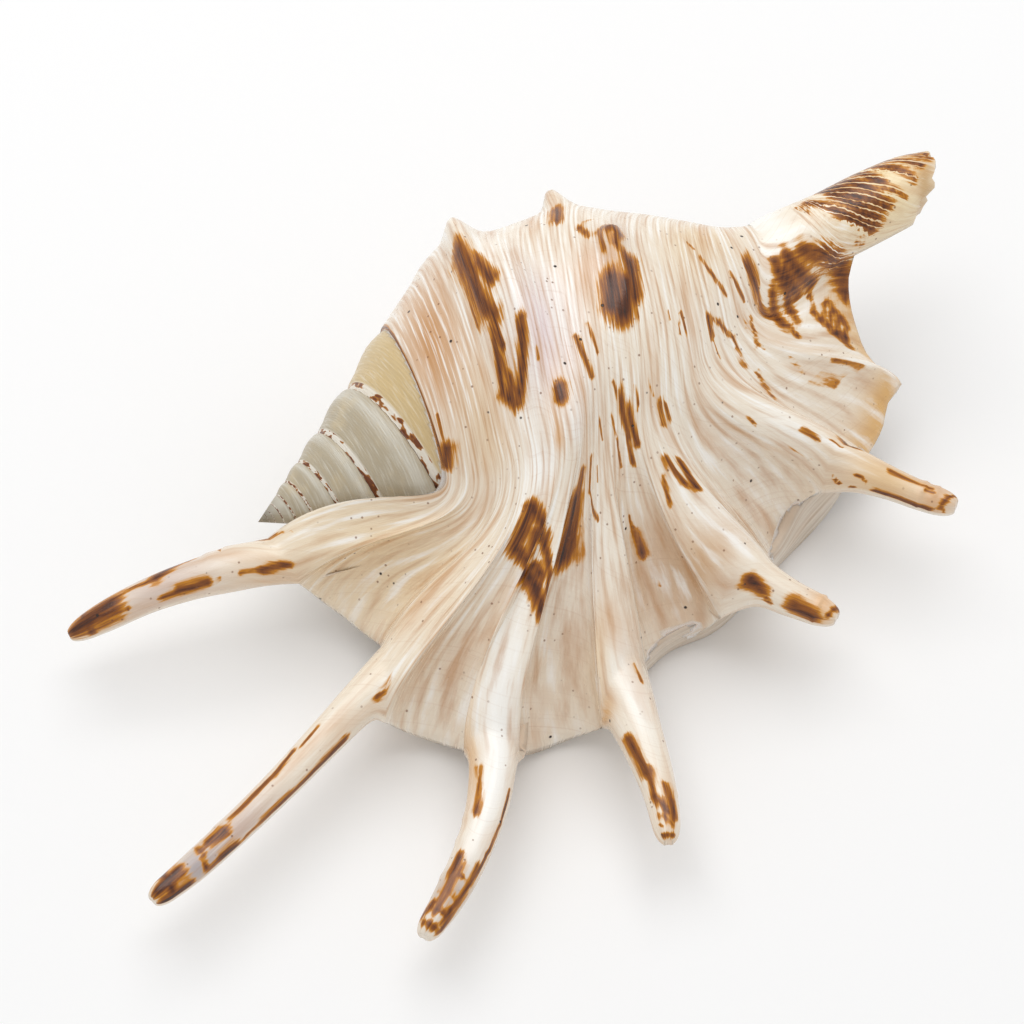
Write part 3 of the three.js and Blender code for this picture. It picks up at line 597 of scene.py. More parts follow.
def relief(k, across, cord, t, along):
    """Height of the fine relief in millimetres: cords of uneven height, faint on the fingers, low
    growth lines across them, the swellings' bells and a collar's bell with its steep side out."""
    uneven = CORD_MEAN + CORD_SPREAD * wave(across * 0.75, 3)
    fade = 1 - FADE_SHARE * smooth((t - FADE_FROM) / FADE_SPAN)
    fresh = smooth((t - WORN_UP_TO) / WORN_EASE)
    between = 1 - (0.5 + 0.5 * np.cos(2 * np.pi * cord)) ** CORD_BLUNTNESS
    cords = -CORD_HEIGHT * uneven * fade * between * (WORN_LEFT + (1 - WORN_LEFT) * fresh)
    growth = GROWTH_HEIGHT * wave(2 * np.pi * along / GROWTH_SPACING + wave(across / 2.4, 5), 2) * 0.5
    height = cords + (growth - GROWTH_HEIGHT) * fade
    for place, at, high, wide, long in SWELLINGS:
        height = height + high * bell(k - place, wide) * bell(t - at, long)
    for name, at, high in COLLARS:
        first, last = FINGERS[name]["columns"]
        mine = (k > first - COLLAR_REACH) & (k < last + COLLAR_REACH) & (t > 2)
        place = at + COLLAR_RAG * wave(k * 3, 2)
        side = np.where(t > place, COLLAR_OUTWARD, COLLAR_INWARD)
        height = height + mine * high * bell(t - place, side * COLLAR_WIDTH)
    return height


class Skin:
    """A closed skin under construction: points, faces of four, and values carried by each point."""

    def __init__(self):
        self.points = np.zeros((0, 3))
        self.faces = np.zeros((0, 4), int)
        self.values = {}
        self.finish = np.zeros(0, int)

    def add(self, points, faces, finish, **values):
        self.faces = np.vstack([self.faces, faces + len(self.points)])
        self.points = np.vstack([self.points, points])
        self.finish = np.append(self.finish, np.broadcast_to(finish, len(faces)))
        for key, value in values.items():
            old = self.values.get(key, np.zeros(0))
            self.values[key] = np.append(old, np.broadcast_to(value, len(points)))


def wall_skin():
    """The wall: the grid of columns and rows, where the rows past the lip's edge exist on the
    fingers only. The upper sheet and the lining are joined all round by rim faces."""
    columns = np.arange(LAST_COLUMN * STEPS_PER_COLUMN + 1) / STEPS_PER_COLUMN
    body = np.arange(BODY_ROWS + 1) / BODY_ROWS
    lip = 1 + np.arange(1, LIP_ROWS + 1) / LIP_ROWS
    out = 3 - (1 - np.arange(1, FINGER_ROWS + 1) / FINGER_ROWS) ** 1.5
    t = np.concatenate([body, lip, out])
    rows = len(body) + len(lip)
    owner = np.array([finger_of(k) or "" for k in columns])
    exists = np.ones((len(columns), len(t)), bool)
    exists[owner == "", rows:] = False
    sheets = []
    for lower in (False, True):
        grid = np.zeros((len(columns), len(t), 3))
        grid[:, :rows] = sheet(columns, t[:rows], lower)
        for name in FINGERS:
            mine = owner == name
            place, _ = finger_point(name, columns[mine][:, None], (t[rows:] - 2)[None, :], lower)
            grid[mine, rows:] = place
        sheets.append(grid)
    number = np.where(exists, np.cumsum(exists).reshape(exists.shape) - 1, -1)
    half = int(exists.sum())
    same = (owner[:-1] == owner[1:]) & (owner[:-1] != "")
    cell = exists[:-1, :-1] & exists[1:, :-1] & exists[:-1, 1:] & exists[1:, 1:]
    cell[:, rows - 1:] &= same[:, None]
    padded = np.pad(cell, 1)
    i, j = np.nonzero(cell)
    top = [number[i, j], number[i, j + 1], number[i + 1, j + 1], number[i + 1, j]]
    upper = np.stack(top, axis=1)
    under = np.stack([top[0], top[3], top[2], top[1]], axis=1) + half
    rims = []
    for di, dj, a, b in ((-1, 0, 1, 0), (1, 0, 3, 2), (0, -1, 0, 3), (0, 1, 2, 1)):
        open_side = ~padded[i + 1 + di, j + 1 + dj]
        first, second = top[a][open_side], top[b][open_side]
        rims.append(np.stack([first, second, second + half, first + half], axis=1))
    kk = np.broadcast_to(columns[:, None], exists.shape)[exists]
    tt = np.broadcast_to(t[None, :], exists.shape)[exists]
    steps = np.linalg.norm(np.diff(sheets[0], axis=1), axis=-1)
    along = np.concatenate([np.zeros((len(columns), 1)), np.cumsum(steps, axis=1)], axis=1)[exists]
    skin = Skin()
    points = np.vstack([sheets[0][exists], sheets[1][exists]])
    faces = np.vstack([upper, under] + rims)
    finish = np.concatenate([np.zeros(len(upper), int), np.ones(len(under), int),
                             np.zeros(sum(map(len, rims)), int)])
    skin.add(points, faces, finish, k=np.tile(kk, 2), t=np.tile(tt, 2), along=np.tile(along, 2),
             lower=np.repeat([0.0, 1.0], half))
    return skin


def normals_of(points, faces):
    """Normal at each point: the sum of the face normals round it, weighed by their areas."""
    a, b, c, d = (points[faces[:, n]] for n in range(4))
    normal = np.cross(c - a, d - b)
    total = np.zeros_like(points)
    for n in range(4):
        np.add.at(total, faces[:, n], normal)
    return unit(total)


def ring_skin(rings, first, last, finish, **values):
    """A closed skin from rings of points, with a fan to a point at each end."""
    count, sides = rings.shape[:2]
    i, j = np.meshgrid(np.arange(count - 1), np.arange(sides), indexing="ij")
    following = (j + 1) % sides
    quads = np.stack([i * sides + j, i * sides + following, (i + 1) * sides + following,
                      (i + 1) * sides + j], axis=-1).reshape(-1, 4)
    j = np.arange(sides)
    following = (j + 1) % sides
    start = np.full(sides, count * sides)
    ends = (count - 1) * sides
    caps = np.vstack([np.stack([start, following, j, j], axis=1),
                      np.stack([start + 1, ends + j, ends + following, ends + following], axis=1)])
    skin = Skin()
    points = np.vstack([rings.reshape(-1, 3), first, last])
    carried = {key: np.append(value.reshape(-1), [value[0].mean(), value[-1].mean()])
               for key, value in values.items()}
    skin.add(points, np.vstack([quads, caps]), finish, **carried)
    return skin


def spire_turns(u, psi):
    """Whorls counted from the last suture, falling towards the apex."""
    return np.log(u / LAST_SUTURE) / np.log(WHORL_RATIO) - (psi - LAST_SUTURE_DEG) / 360


def spire_radius(u, psi):
    """A cone whose whorls start narrow after each suture and end in a roll, with the suture cut in
    as a fine groove, a low cord after it and fine spiral threads."""
    turns = spire_turns(u, psi)
    within = turns - np.floor(turns)
    roll = (np.sin(np.pi * np.clip((within - ROLL_START) / (1 - ROLL_START), 0, 1))
            - SUTURE_DEPTH * bell(within, SUTURE_WIDTH))
    near = np.minimum(within, 1 - within)
    groove = -GROOVE_CUT * bell(near, GROOVE_WIDTH)
    cord = LOW_CORD_HEIGHT * bell(within - LOW_CORD_PLACE, LOW_CORD_WIDTH)
    threads = THREAD_HEIGHT * np.sin(2 * np.pi * within * THREADS)
    return SPIRE_SLOPE * u * (1 + ROLL_HEIGHT * roll + groove + cord + threads)


def spindle_skin():
    """The spire and the columella: rings round the axis at stations in equal ratios up the spire,
    then in equal steps down the columella, which drops below the axis."""
    up_spire = LAST_SUTURE / WHORL_RATIO ** (np.arange(SPIRE_TURNS * RINGS_PER_TURN, -1, -1)
                                             / RINGS_PER_TURN)
    end = SPINDLE_PROFILE[-1][0]
    down = LAST_SUTURE + (end - LAST_SUTURE) * np.arange(1, SPINDLE_RINGS + 1) / SPINDLE_RINGS
    u = np.concatenate([up_spire, down])[:, None]
    psi = 360 * np.arange(SPINDLE_SIDES)[None, :] / SPINDLE_SIDES
    u, psi = np.broadcast_arrays(u, psi)
    radius = np.where(u <= LAST_SUTURE, spire_radius(u, psi), profile(u, SPINDLE_PROFILE))
    drop = profile(u, SPINDLE_DROP)[..., None] * LIFT
    rings = whorl_point(u, psi, radius) - drop
    first = whorl_point(0.0, 0.0, 0.0)
    last = whorl_point(end + 1, 0.0, 0.0) - profile(end, SPINDLE_DROP) * LIFT
    return ring_skin(rings, first, last, 2, u=u, psi=psi, turns=spire_turns(np.maximum(u, 1), psi))


def band_skin():
    """The rolled band: its section, rounded by a closed smooth curve, carried from finger D to the
    notch between the lip's edge and the foot, with growth steps along it."""
    v = np.arange(BAND_RINGS + 1) / BAND_RINGS
    reach = reach_of(BAND_FOOT)
    foot = spline(v, reach, BAND_FOOT)
    top = spline(v, reach, BAND_TOP)
    ahead = spline(np.minimum(v + STEP, 1), reach, BAND_FOOT)
    along = (ahead - spline(np.maximum(v - STEP, 0), reach, BAND_FOOT)) * (1, 1, 0)
    out = np.cross(unit(along), UP)
    section = np.array(BAND_SECTION + BAND_SECTION[:1], float)
    around = np.arange(BAND_SIDES) * len(BAND_SECTION) / BAND_SIDES
    low = around.astype(int)
    part = (around - low)[:, None]
    section = section[low] * (1 - part) + section[low + 1] * part
    across, high = section[:, 0], section[:, 1]
    rings = (foot[:, None] + (top - foot)[:, None] * high[None, :, None]
             + out[:, None] * (across * BAND_THICKNESS)[None, :, None])
    steps = BAND_STEP_HEIGHT * wave(high * BAND_STEPS + 0.8 * np.sin(v * 9)[:, None], 2)
    rings = rings + out[:, None] * steps[..., None]
    return ring_skin(rings, rings[0].mean(axis=0), rings[-1].mean(axis=0), 3,
                     v=np.broadcast_to(v[:, None], rings.shape[:2]),
                     high=np.broadcast_to(high[None, :], rings.shape[:2]))


def mesh_object(name, skin, carried, colours, materials):
    """Makes the mesh: points to metres in the part's frame, none outside the solid's box, faces
    with their finish, and what the materials read at each point: carried values and a colour."""
    place = np.clip((skin.points - PLAN_CENTRE) * MM, CAD_BOX[0], CAD_BOX[1])
    mesh = bpy.data.meshes.new(name)
    faces = [tuple(dict.fromkeys(face)) for face in skin.faces.tolist()]
    mesh.from_pydata(place.tolist(), [], faces)
    for key, value in carried.items():
        stored = mesh.attributes.new(key, "FLOAT", "POINT")
        stored.data.foreach_set("value", value.astype(np.float32))
    ground = mesh.attributes.new("ground", "FLOAT_COLOR", "POINT")
    ground.data.foreach_set("color", colours.astype(np.float32).ravel())
    for material in materials:
        mesh.materials.append(material)
    mesh.polygons.foreach_set("material_index", skin.finish.astype(np.int32))
    mesh.polygons.foreach_set("use_smooth", np.ones(len(mesh.polygons), bool))
    mesh.update()
    made = bmesh.new()
    made.from_mesh(mesh)
    bmesh.ops.remove_doubles(made, verts=made.verts, dist=1e-7)
    bmesh.ops.dissolve_degenerate(made, edges=made.edges, dist=1e-8)
    made.to_mesh(mesh)
    made.free()
    piece = bpy.data.objects.new(name, mesh)
    bpy.context.scene.collection.objects.link(piece)
    return piece


def wall_point(k, t):
    """The point of the outer skin at one place."""
    if t > 2:
        return finger_point(finger_of(k), k, t - 2, False)[0]
    return sheet(np.array([k]), np.array([t]), False)[0, 0]


def local_scale(k, t):
    """Millimetres for one column and for one unit of t at a place on the outer skin, from a short
    step in each. A step is taken backwards where it would leave the wall or cross into a finger."""
    dk = 0.05
    dt = 0.01
    if k >= LAST_COLUMN - 0.1 or (finger_of(k + dk) is None and t > 2):
        dk = -dk
    if t > 2.9 or 1.99 < t <= 2:
        dt = -dt
    here = wall_point(k, t)
    return (np.linalg.norm(wall_point(k + dk, t) - here) / abs(dk),
            np.linalg.norm(wall_point(k, t + dt) - here) / abs(dt))


# Brown marks, region by region: start and end as (column, t), half width in mm, strength. Most
# ends were read off the photo, and its camera gave their places on the wall.
MARKS = {
    "first knob": [
        (5.1, 0.70, 5.6, 0.81, 2.0, 1.0), (4.9, 0.70, 4.8, 0.82, 0.5, 0.9),
        (6.0, 0.825, 6.1, 0.865, 0.6, 0.7), (5.7, 0.84, 5.3, 0.92, 0.75, 1.2),
        (5.3, 0.92, 5.8, 0.935, 1.2, 1.1), (7.25, 0.85, 6.75, 0.905, 1.2, 1.0),
        (6.4, 0.93, 6.25, 0.945, 1.3, 1.0), (6.0, 0.90, 6.1, 0.92, 0.8, 0.8),
        (7.9, 0.89, 7.9, 0.905, 0.6, 0.3), (9.5, 0.945, 9.35, 0.96, 1.1, 1.2),
        (5.9, 0.735, 6.4, 0.785, 1.3, 0.95), (6.75, 0.905, 6.4, 0.94, 1.0, 1.1),
        (5.6, 0.79, 6.1, 0.83, 1.3, 1.0), (5.3, 0.76, 5.9, 0.82, 1.3, 1.0),
        (6.05, 0.80, 5.95, 0.865, 0.8, 0.9), (5.75, 0.87, 5.95, 0.955, 0.5, 0.9),
    ],
    "third and fourth knobs": [
        (11.6, 0.63, 11.7, 0.68, 1.2, 1.0), (11.1, 0.565, 11.2, 0.57, 0.5, 0.6),
        (13.8, 0.70, 14.4, 0.70, 0.5, 0.7), (13.3, 0.71, 14.1, 0.74, 0.7, 0.8),
        (15.1, 0.745, 16.2, 0.77, 1.2, 1.0), (14.9, 0.755, 14.9, 0.79, 0.7, 0.8),
        (16.7, 0.81, 16.7, 0.865, 1.4, 1.2), (15.1, 0.825, 14.9, 0.865, 1.7, 1.3),
        (16.0, 0.84, 15.6, 0.88, 1.9, 1.3), (15.5, 0.775, 16.2, 0.795, 0.9, 0.9),
        (16.4, 0.79, 16.6, 0.83, 0.7, 0.7),
    ],
    "dashes over the crest": [
        (13.0, 0.88, 13.5, 0.92, 0.45, 0.7), (11.8, 0.89, 12.6, 0.945, 0.7, 0.8),
        (16.9, 0.885, 16.75, 0.895, 0.25, 0.7), (18.75, 0.905, 18.75, 0.92, 0.4, 0.5),
        (19.4, 0.92, 19.2, 0.945, 0.4, 0.7), (19.6, 0.92, 19.65, 0.955, 0.5, 0.7),
        (14.4, 0.96, 14.8, 0.985, 0.4, 0.7), (14.85, 0.985, 15.2, 1.11, 0.7, 0.9),
        (15.3, 1.005, 15.6, 1.16, 0.7, 1.0), (15.1, 1.11, 15.25, 1.24, 0.45, 0.9),
        (14.25, 1.0, 14.6, 1.13, 0.3, 0.7), (14.5, 1.10, 14.75, 1.23, 0.3, 0.7),
        (15.8, 0.975, 16.0, 1.0, 0.5, 0.5), (15.9, 1.0, 15.85, 1.035, 0.3, 0.4),
        (17.0, 0.975, 17.4, 1.0, 0.3, 0.5), (17.8, 1.035, 17.7, 1.16, 0.7, 0.7),
        (18.1, 1.07, 18.15, 1.145, 0.5, 0.7), (0.7, 0.945, 0.3, 0.985, 1.0, 1.1),
        (0.6, 0.88, 0.5, 0.93, 0.35, 0.8),
    ],
    "middle ridge": [
        (11.15, 1.135, 11.0, 1.24, 0.8, 0.9), (10.9, 1.235, 10.95, 1.425, 1.9, 1.2),
        (12.2, 1.11, 11.85, 1.225, 0.5, 0.8), (11.95, 1.225, 12.9, 1.405, 0.45, 0.9),
        (12.5, 1.10, 12.5, 1.25, 0.25, 0.6), (12.85, 1.18, 12.9, 1.26, 0.25, 0.5),
        (13.15, 1.0, 13.4, 1.09, 0.3, 0.6), (6.65, 1.205, 6.7, 1.35, 1.2, 1.1),
        (6.65, 1.205, 8.85, 1.36, 1.0, 1.0), (6.8, 1.36, 8.8, 1.48, 1.3, 1.1),
        (9.1, 1.385, 9.85, 1.46, 0.9, 1.0), (9.0, 1.50, 9.9, 1.565, 1.6, 1.2),
        (9.8, 1.48, 10.3, 1.545, 1.0, 1.1), (7.1, 1.39, 9.35, 1.475, 1.1, 1.1),
        (7.6, 1.33, 8.4, 1.40, 0.9, 0.6), (7.3, 1.29, 7.5, 1.36, 1.3, 1.0),
    ],
    "right flank": [
        (17.1, 1.32, 17.2, 1.48, 0.9, 0.8), (17.6, 1.36, 17.45, 1.525, 0.8, 1.0),
        (16.7, 1.385, 16.5, 1.51, 0.7, 0.7), (14.9, 1.455, 14.9, 1.525, 0.4, 0.6),
        (14.95, 1.54, 15.0, 1.645, 0.95, 1.1), (15.05, 1.66, 15.05, 1.75, 0.35, 0.6),
        (15.05, 1.73, 15.1, 1.795, 0.5, 0.6), (20.95, 1.76, 20.9, 1.875, 0.6, 0.9),
        (21.75, 1.65, 21.75, 1.78, 0.6, 0.5), (20.45, 1.465, 20.3, 1.515, 0.5, 0.6),
        (20.2, 1.735, 20.3, 1.89, 0.9, 0.2),
    ],
    "canal": [
        (26.45, 1.77, 26.0, 2.0, 0.8, 1.2), (26.0, 1.97, 25.45, 2.20, 1.0, 1.3),
        (26.85, 1.95, 26.0, 2.12, 1.0, 1.3), (26.0, 2.12, 25.5, 2.27, 1.0, 1.3),
        (26.75, 2.05, 26.0, 2.21, 1.2, 1.3), (26.0, 2.20, 25.65, 2.36, 1.0, 1.2),
        (26.75, 2.16, 26.05, 2.32, 1.1, 1.3), (26.05, 2.31, 25.7, 2.41, 0.9, 1.1),
        (26.8, 2.30, 26.1, 2.44, 1.0, 1.2), (26.1, 2.41, 25.7, 2.58, 0.8, 0.9),
        (26.75, 2.42, 25.9, 2.74, 0.9, 1.1), (26.7, 2.57, 26.1, 2.85, 0.9, 1.0),
        (26.7, 2.77, 26.2, 2.96, 0.8, 0.9), (26.65, 2.91, 26.3, 2.99, 0.6, 1.0),
        (26.45, 1.66, 26.15, 1.75, 0.6, 0.4), (25.6, 1.80, 25.55, 1.81, 0.4, 0.8),
        (25.35, 2.03, 25.2, 2.085, 0.6, 0.8),
    ],
    "root of the canal": [
        (24.9, 0.88, 24.95, 0.975, 1.9, 1.1), (24.95, 0.975, 24.65, 1.275, 0.9, 1.0),
        (23.45, 0.91, 23.8, 0.995, 0.6, 0.8), (25.65, 1.26, 25.3, 1.395, 1.4, 1.1),
        (25.55, 1.365, 24.95, 1.53, 1.3, 1.1), (25.2, 1.23, 24.25, 1.39, 1.1, 1.0),
        (25.2, 1.40, 24.4, 1.51, 1.0, 1.0), (24.35, 1.395, 24.0, 1.475, 0.7, 0.8),
        (25.75, 1.39, 25.0, 1.65, 1.3, 1.2), (25.7, 1.555, 25.3, 1.835, 1.8, 1.0),
        (25.45, 1.745, 24.7, 1.97, 2.2, 1.0), (24.7, 1.915, 24.5, 1.97, 1.1, 0.9),
        (25.2, 1.565, 24.6, 1.68, 0.6, 0.8), (24.55, 1.78, 24.25, 1.885, 1.0, 1.0),
        (24.5, 1.73, 24.1, 1.84, 0.7, 0.9), (24.45, 1.65, 23.95, 1.825, 0.9, 1.1),
        (24.55, 1.65, 24.15, 1.695, 0.35, 0.7), (23.45, 1.60, 23.4, 1.755, 0.6, 0.8),
        (23.2, 1.58, 23.2, 1.70, 0.5, 0.8), (23.05, 1.55, 23.1, 1.685, 0.6, 0.8),
        (23.3, 1.405, 23.15, 1.51, 0.55, 0.8), (22.7, 1.295, 22.4, 1.455, 0.6, 0.8),
        (21.7, 0.96, 21.7, 0.995, 0.9, 0.9), (21.7, 0.96, 22.4, 0.995, 0.6, 0.8),
        (22.35, 1.0, 22.7, 1.10, 0.6, 0.8), (22.7, 1.09, 22.55, 1.24, 0.6, 0.8),
        (21.75, 1.01, 21.8, 1.125, 0.3, 0.5), (22.55, 1.135, 22.45, 1.22, 0.6, 0.4),
        (23.8, 1.10, 23.2, 1.225, 0.6, 0.8), (23.3, 1.215, 23.25, 1.275, 0.4, 0.8),
        (23.45, 1.08, 23.25, 1.13, 0.4, 0.4), (22.05, 0.835, 22.9, 0.96, 0.6, 0.7),
        (21.35, 0.785, 21.85, 0.815, 0.3, 0.7),
    ],
    "last suture": [(0.0, 0.45, 0.0, 0.98, 0.3, 0.9)],
    "finger A": [
        (0.1, 2.07, 0.15, 1.975, 0.45, 1.0), (0.15, 1.975, 0.4, 1.925, 0.4, 0.4),
        (1.45, 2.125, 1.15, 2.01, 0.85, 1.0), (1.55, 2.215, 1.45, 2.125, 0.5, 0.8),
        (0.15, 2.27, 0.6, 2.27, 0.3, 0.8), (1.55, 2.31, 1.6, 2.295, 0.4, 0.8),
        (1.6, 2.475, 1.6, 2.355, 0.9, 1.1), (1.65, 2.565, 1.65, 2.47, 0.6, 1.0),
        (0.3, 2.395, 0.25, 2.46, 1.0, 1.0), (0.25, 2.46, 0.75, 2.56, 1.2, 1.1),
        (0.8, 2.585, 0.55, 2.725, 0.7, 0.7), (1.0, 2.775, 1.2, 2.965, 1.9, 1.3),
        (1.35, 2.725, 1.5, 2.71, 0.5, 0.6), (0.6, 2.90, 1.8, 2.90, 0.9, 1.1),
    ],
    "finger B": [
        (5.35, 1.99, 5.45, 2.06, 0.95, 0.9), (4.7, 2.25, 4.8, 2.355, 0.35, 0.8),
        (4.6, 2.37, 4.8, 2.48, 0.55, 1.0), (4.75, 2.505, 4.75, 2.665, 0.5, 1.0),
        (5.9, 2.235, 5.95, 2.36, 0.75, 1.1), (5.9, 2.37, 5.95, 2.46, 0.6, 0.9),
        (5.95, 2.485, 5.9, 2.605, 0.8, 1.1), (5.9, 2.605, 5.9, 2.675, 0.5, 0.9),
        (5.0, 2.71, 4.9, 2.77, 1.0, 1.1), (5.95, 2.71, 5.9, 2.765, 1.0, 1.2),
        (5.0, 2.765, 4.9, 2.815, 0.7, 0.7), (5.9, 2.77, 5.9, 2.81, 0.6, 0.8),
        (4.9, 2.895, 5.05, 2.98, 1.2, 1.3), (5.95, 2.895, 5.85, 2.98, 1.0, 1.3),
        (4.4, 2.93, 5.8, 2.95, 1.1, 1.2), (4.6, 2.80, 5.9, 2.83, 0.6, 0.9),
    ],
    "finger C": [
        (8.6, 2.185, 8.8, 2.405, 0.8, 0.9), (8.8, 2.615, 8.95, 2.79, 0.8, 1.1),
        (9.75, 2.245, 9.8, 2.435, 0.35, 1.0), (9.85, 2.44, 9.75, 2.56, 0.5, 1.0),
        (9.8, 2.57, 9.7, 2.73, 0.4, 1.0), (8.65, 2.865, 8.25, 2.935, 0.9, 1.1),
        (8.7, 2.96, 9.75, 2.96, 0.8, 1.0), (9.6, 2.855, 9.85, 2.945, 0.8, 1.1),
        (9.7, 2.745, 9.7, 2.855, 0.6, 0.9),
        (8.95, 2.66, 8.9, 2.90, 0.9, 0.9), (9.6, 2.62, 9.6, 2.93, 0.7, 0.8),
        (8.6, 2.80, 9.8, 2.80, 0.45, 0.8), (8.5, 2.885, 9.8, 2.885, 0.6, 1.0),
        (8.7, 2.72, 9.7, 2.70, 0.4, 0.7),
    ],
    "finger D": [
        (13.4, 2.035, 13.45, 2.125, 0.6, 0.9), (12.45, 2.40, 12.5, 2.61, 0.85, 1.2),
        (12.6, 2.425, 12.65, 2.58, 0.5, 0.9), (12.7, 2.595, 12.65, 2.745, 0.9, 0.9),
        (12.65, 2.745, 13.1, 2.86, 0.8, 1.0), (13.35, 2.79, 13.5, 2.89, 0.7, 0.9),
        (12.65, 2.98, 13.55, 2.98, 0.5, 0.9), (12.6, 2.92, 12.75, 2.935, 0.3, 0.6),
        (13.25, 2.70, 13.35, 2.90, 0.8, 0.9), (12.8, 2.87, 13.3, 2.93, 0.9, 0.6),
    ],
    "fingers E and F": [
        (16.65, 2.18, 16.4, 2.33, 1.2, 1.1), (16.2, 2.37, 16.1, 2.42, 0.6, 0.8),
        (16.4, 2.62, 16.3, 2.81, 1.4, 1.2), (16.55, 2.94, 17.8, 2.995, 0.7, 0.9),
        (20.3, 2.06, 20.1, 2.13, 0.45, 0.8), (20.0, 2.20, 20.0, 2.25, 0.35, 0.9),
        (20.45, 2.225, 20.45, 2.29, 0.3, 0.7), (20.45, 2.28, 20.3, 2.325, 0.35, 0.7),
        (20.0, 2.375, 20.0, 2.49, 0.5, 0.9), (20.0, 2.49, 20.0, 2.615, 0.3, 0.7),
        (20.0, 2.535, 20.15, 2.60, 0.5, 0.8), (20.0, 2.605, 20.0, 2.69, 0.45, 1.0),
        (20.0, 2.69, 20.0, 2.82, 0.55, 1.2), (21.1, 2.445, 21.1, 2.56, 0.4, 1.0),
        (21.1, 2.56, 21.1, 2.68, 0.3, 0.9), (20.9, 2.75, 20.9, 2.83, 0.35, 0.9),
        (20.35, 2.915, 20.05, 2.935, 0.4, 0.8), (20.9, 2.93, 21.75, 3.0, 0.35, 0.9),
        (21.1, 1.92, 21.1, 2.03, 0.3, 0.9), (21.47, 2.05, 21.47, 2.07, 0.8, 2.0),
        (20.1, 2.40, 20.1, 2.84, 0.55, 0.9), (21.1, 2.45, 21.1, 2.80, 0.45, 0.9),
        (20.3, 2.90, 20.9, 2.93, 0.7, 0.9),
    ],
}

# Tints of the ground: colour, place (column, t), spread in columns and in t, strength. The near-white
# tints on the tops of the knobs and along the crests of the ridges and fingers are partly the shell's
# white glaze and partly painted highlight.
TINTS = [
    ("#c78f55", 1.9, 0.75, 2.2, 0.15, 0.9), ("#ecd0a0", 2.2, 1.70, 3.0, 0.40, 0.6),
    ("#e6c9a0", 3.6, 0.95, 1.6, 0.10, 0.6), ("#eedce0", 9.3, 0.875, 2.8, 0.085, 0.85),
    ("#e0ac72", 8.4, 1.0, 0.7, 0.04, 0.9), ("#fffdf8", 7.0, 1.08, 1.0, 0.09, 0.9),
    ("#fffdf8", 10.2, 0.98, 0.8, 0.06, 0.8), ("#fbf4ea", 10.9, 0.86, 1.0, 0.05, 0.6),
    ("#fffaf0", 6.5, 0.80, 0.45, 0.07, 0.9), ("#fdf6e6", 5.0, 0.66, 0.9, 0.05, 0.8),
    ("#fbf2e0", 11.4, 0.60, 0.6, 0.03, 0.7), ("#5a3a20", 0.0, 0.80, 0.10, 0.30, 0.9),
    ("#d3a075", 14.6, 0.80, 1.8, 0.05, 0.6), ("#fbf3e6", 12.4, 1.55, 1.0, 0.20, 0.6),
    ("#e2ad66", 12.25, 2.08, 0.35, 0.12, 0.85), ("#f0cd9c", 12.2, 1.83, 0.7, 0.14, 0.6),
    ("#d6ad80", 15.5, 1.62, 1.0, 0.22, 0.5), ("#e0a45a", 16.6, 2.85, 1.6, 0.14, 0.7),
    ("#dfb67a", 20.6, 2.45, 1.6, 0.35, 0.75), ("#e0ae62", 23.2, 1.96, 1.5, 0.12, 0.95),
    ("#f2dba8", 26.2, 2.45, 1.8, 0.60, 0.8), ("#fffaf0", 26.0, 1.35, 0.6, 0.28, 0.8),
    ("#fffefa", 9.15, 2.15, 0.5, 0.60, 0.9), ("#fffdf6", 13.15, 2.16, 0.35, 0.30, 0.9),
    ("#fffaf0", 17.2, 1.76, 0.35, 0.18, 0.8), ("#fffaf0", 20.9, 1.66, 0.35, 0.14, 0.8),
    ("#cf9350", 20.4, 2.85, 1.6, 0.12, 0.6), ("#e5b87c", 8.2, 2.1, 0.4, 0.25, 0.7),
    ("#cc9f6c", 16.2, 1.82, 1.4, 0.14, 0.7), ("#e4c592", 22.0, 0.78, 2.5, 0.10, 0.6),
    ("#c79c60", 26.0, 2.88, 2.0, 0.14, 0.75), ("#c4aaa0", 1.0, 2.55, 1.8, 0.26, 0.65),
    ("#c0a498", 5.4, 2.72, 0.9, 0.20, 0.8), ("#a8a0a4", 5.4, 2.85, 0.9, 0.07, 0.8),
    ("#9c8074", 9.1, 2.80, 1.0, 0.14, 0.65),
]
LINING_TINTS = [("#e9b98c", 14, 1.0, 12, 0.35, 0.8), ("#f3ebdf", 14, 0.1, 30, 0.4, 0.6)]
UNMARKED = -3.0


def mark_field(k, t):
    """For each point the strength of the strongest mark: the mark's own on its middle line, less
    one for every half width away from it."""
    field = np.full(len(k), UNMARKED)
    for k1, t1, k2, t2, half, strength in sum(MARKS.values(), []):
        across, along = local_scale((k1 + k2) / 2, (t1 + t2) / 2)
        line = np.array([(k2 - k1) * across, (t2 - t1) * along])
        from_start = np.stack([(k - k1) * across, (t - t1) * along], axis=1)
        share = np.clip(from_start @ line / max(line @ line, 1e-9), 0, 1)
        distance = np.linalg.norm(from_start - share[:, None] * line, axis=1)
        field = np.maximum(field, strength - distance / half)
    return field


def linear(code):
    """An sRGB hex value as linear red, green, blue and alpha."""
    code = code.lstrip("#")
    parts = [int(code[n:n + 2], 16) / 255 for n in (0, 2, 4)]
    return [c / 12.92 if c <= 0.04045 else ((c + 0.055) / 1.055) ** 2.4 for c in parts] + [1.0]


def tinted(k, t, base, tints):
    """The ground colour: the base colour, drawn towards each tint by a bell round its place."""
    colour = np.tile(linear(base), (len(k), 1))
    for code, k0, t0, wide, long, strength in tints:
        share = strength * bell(k - k0, wide) * bell(t - t0, long)
        colour = colour + (np.array(linear(code)) - colour) * share[:, None]
    return colour


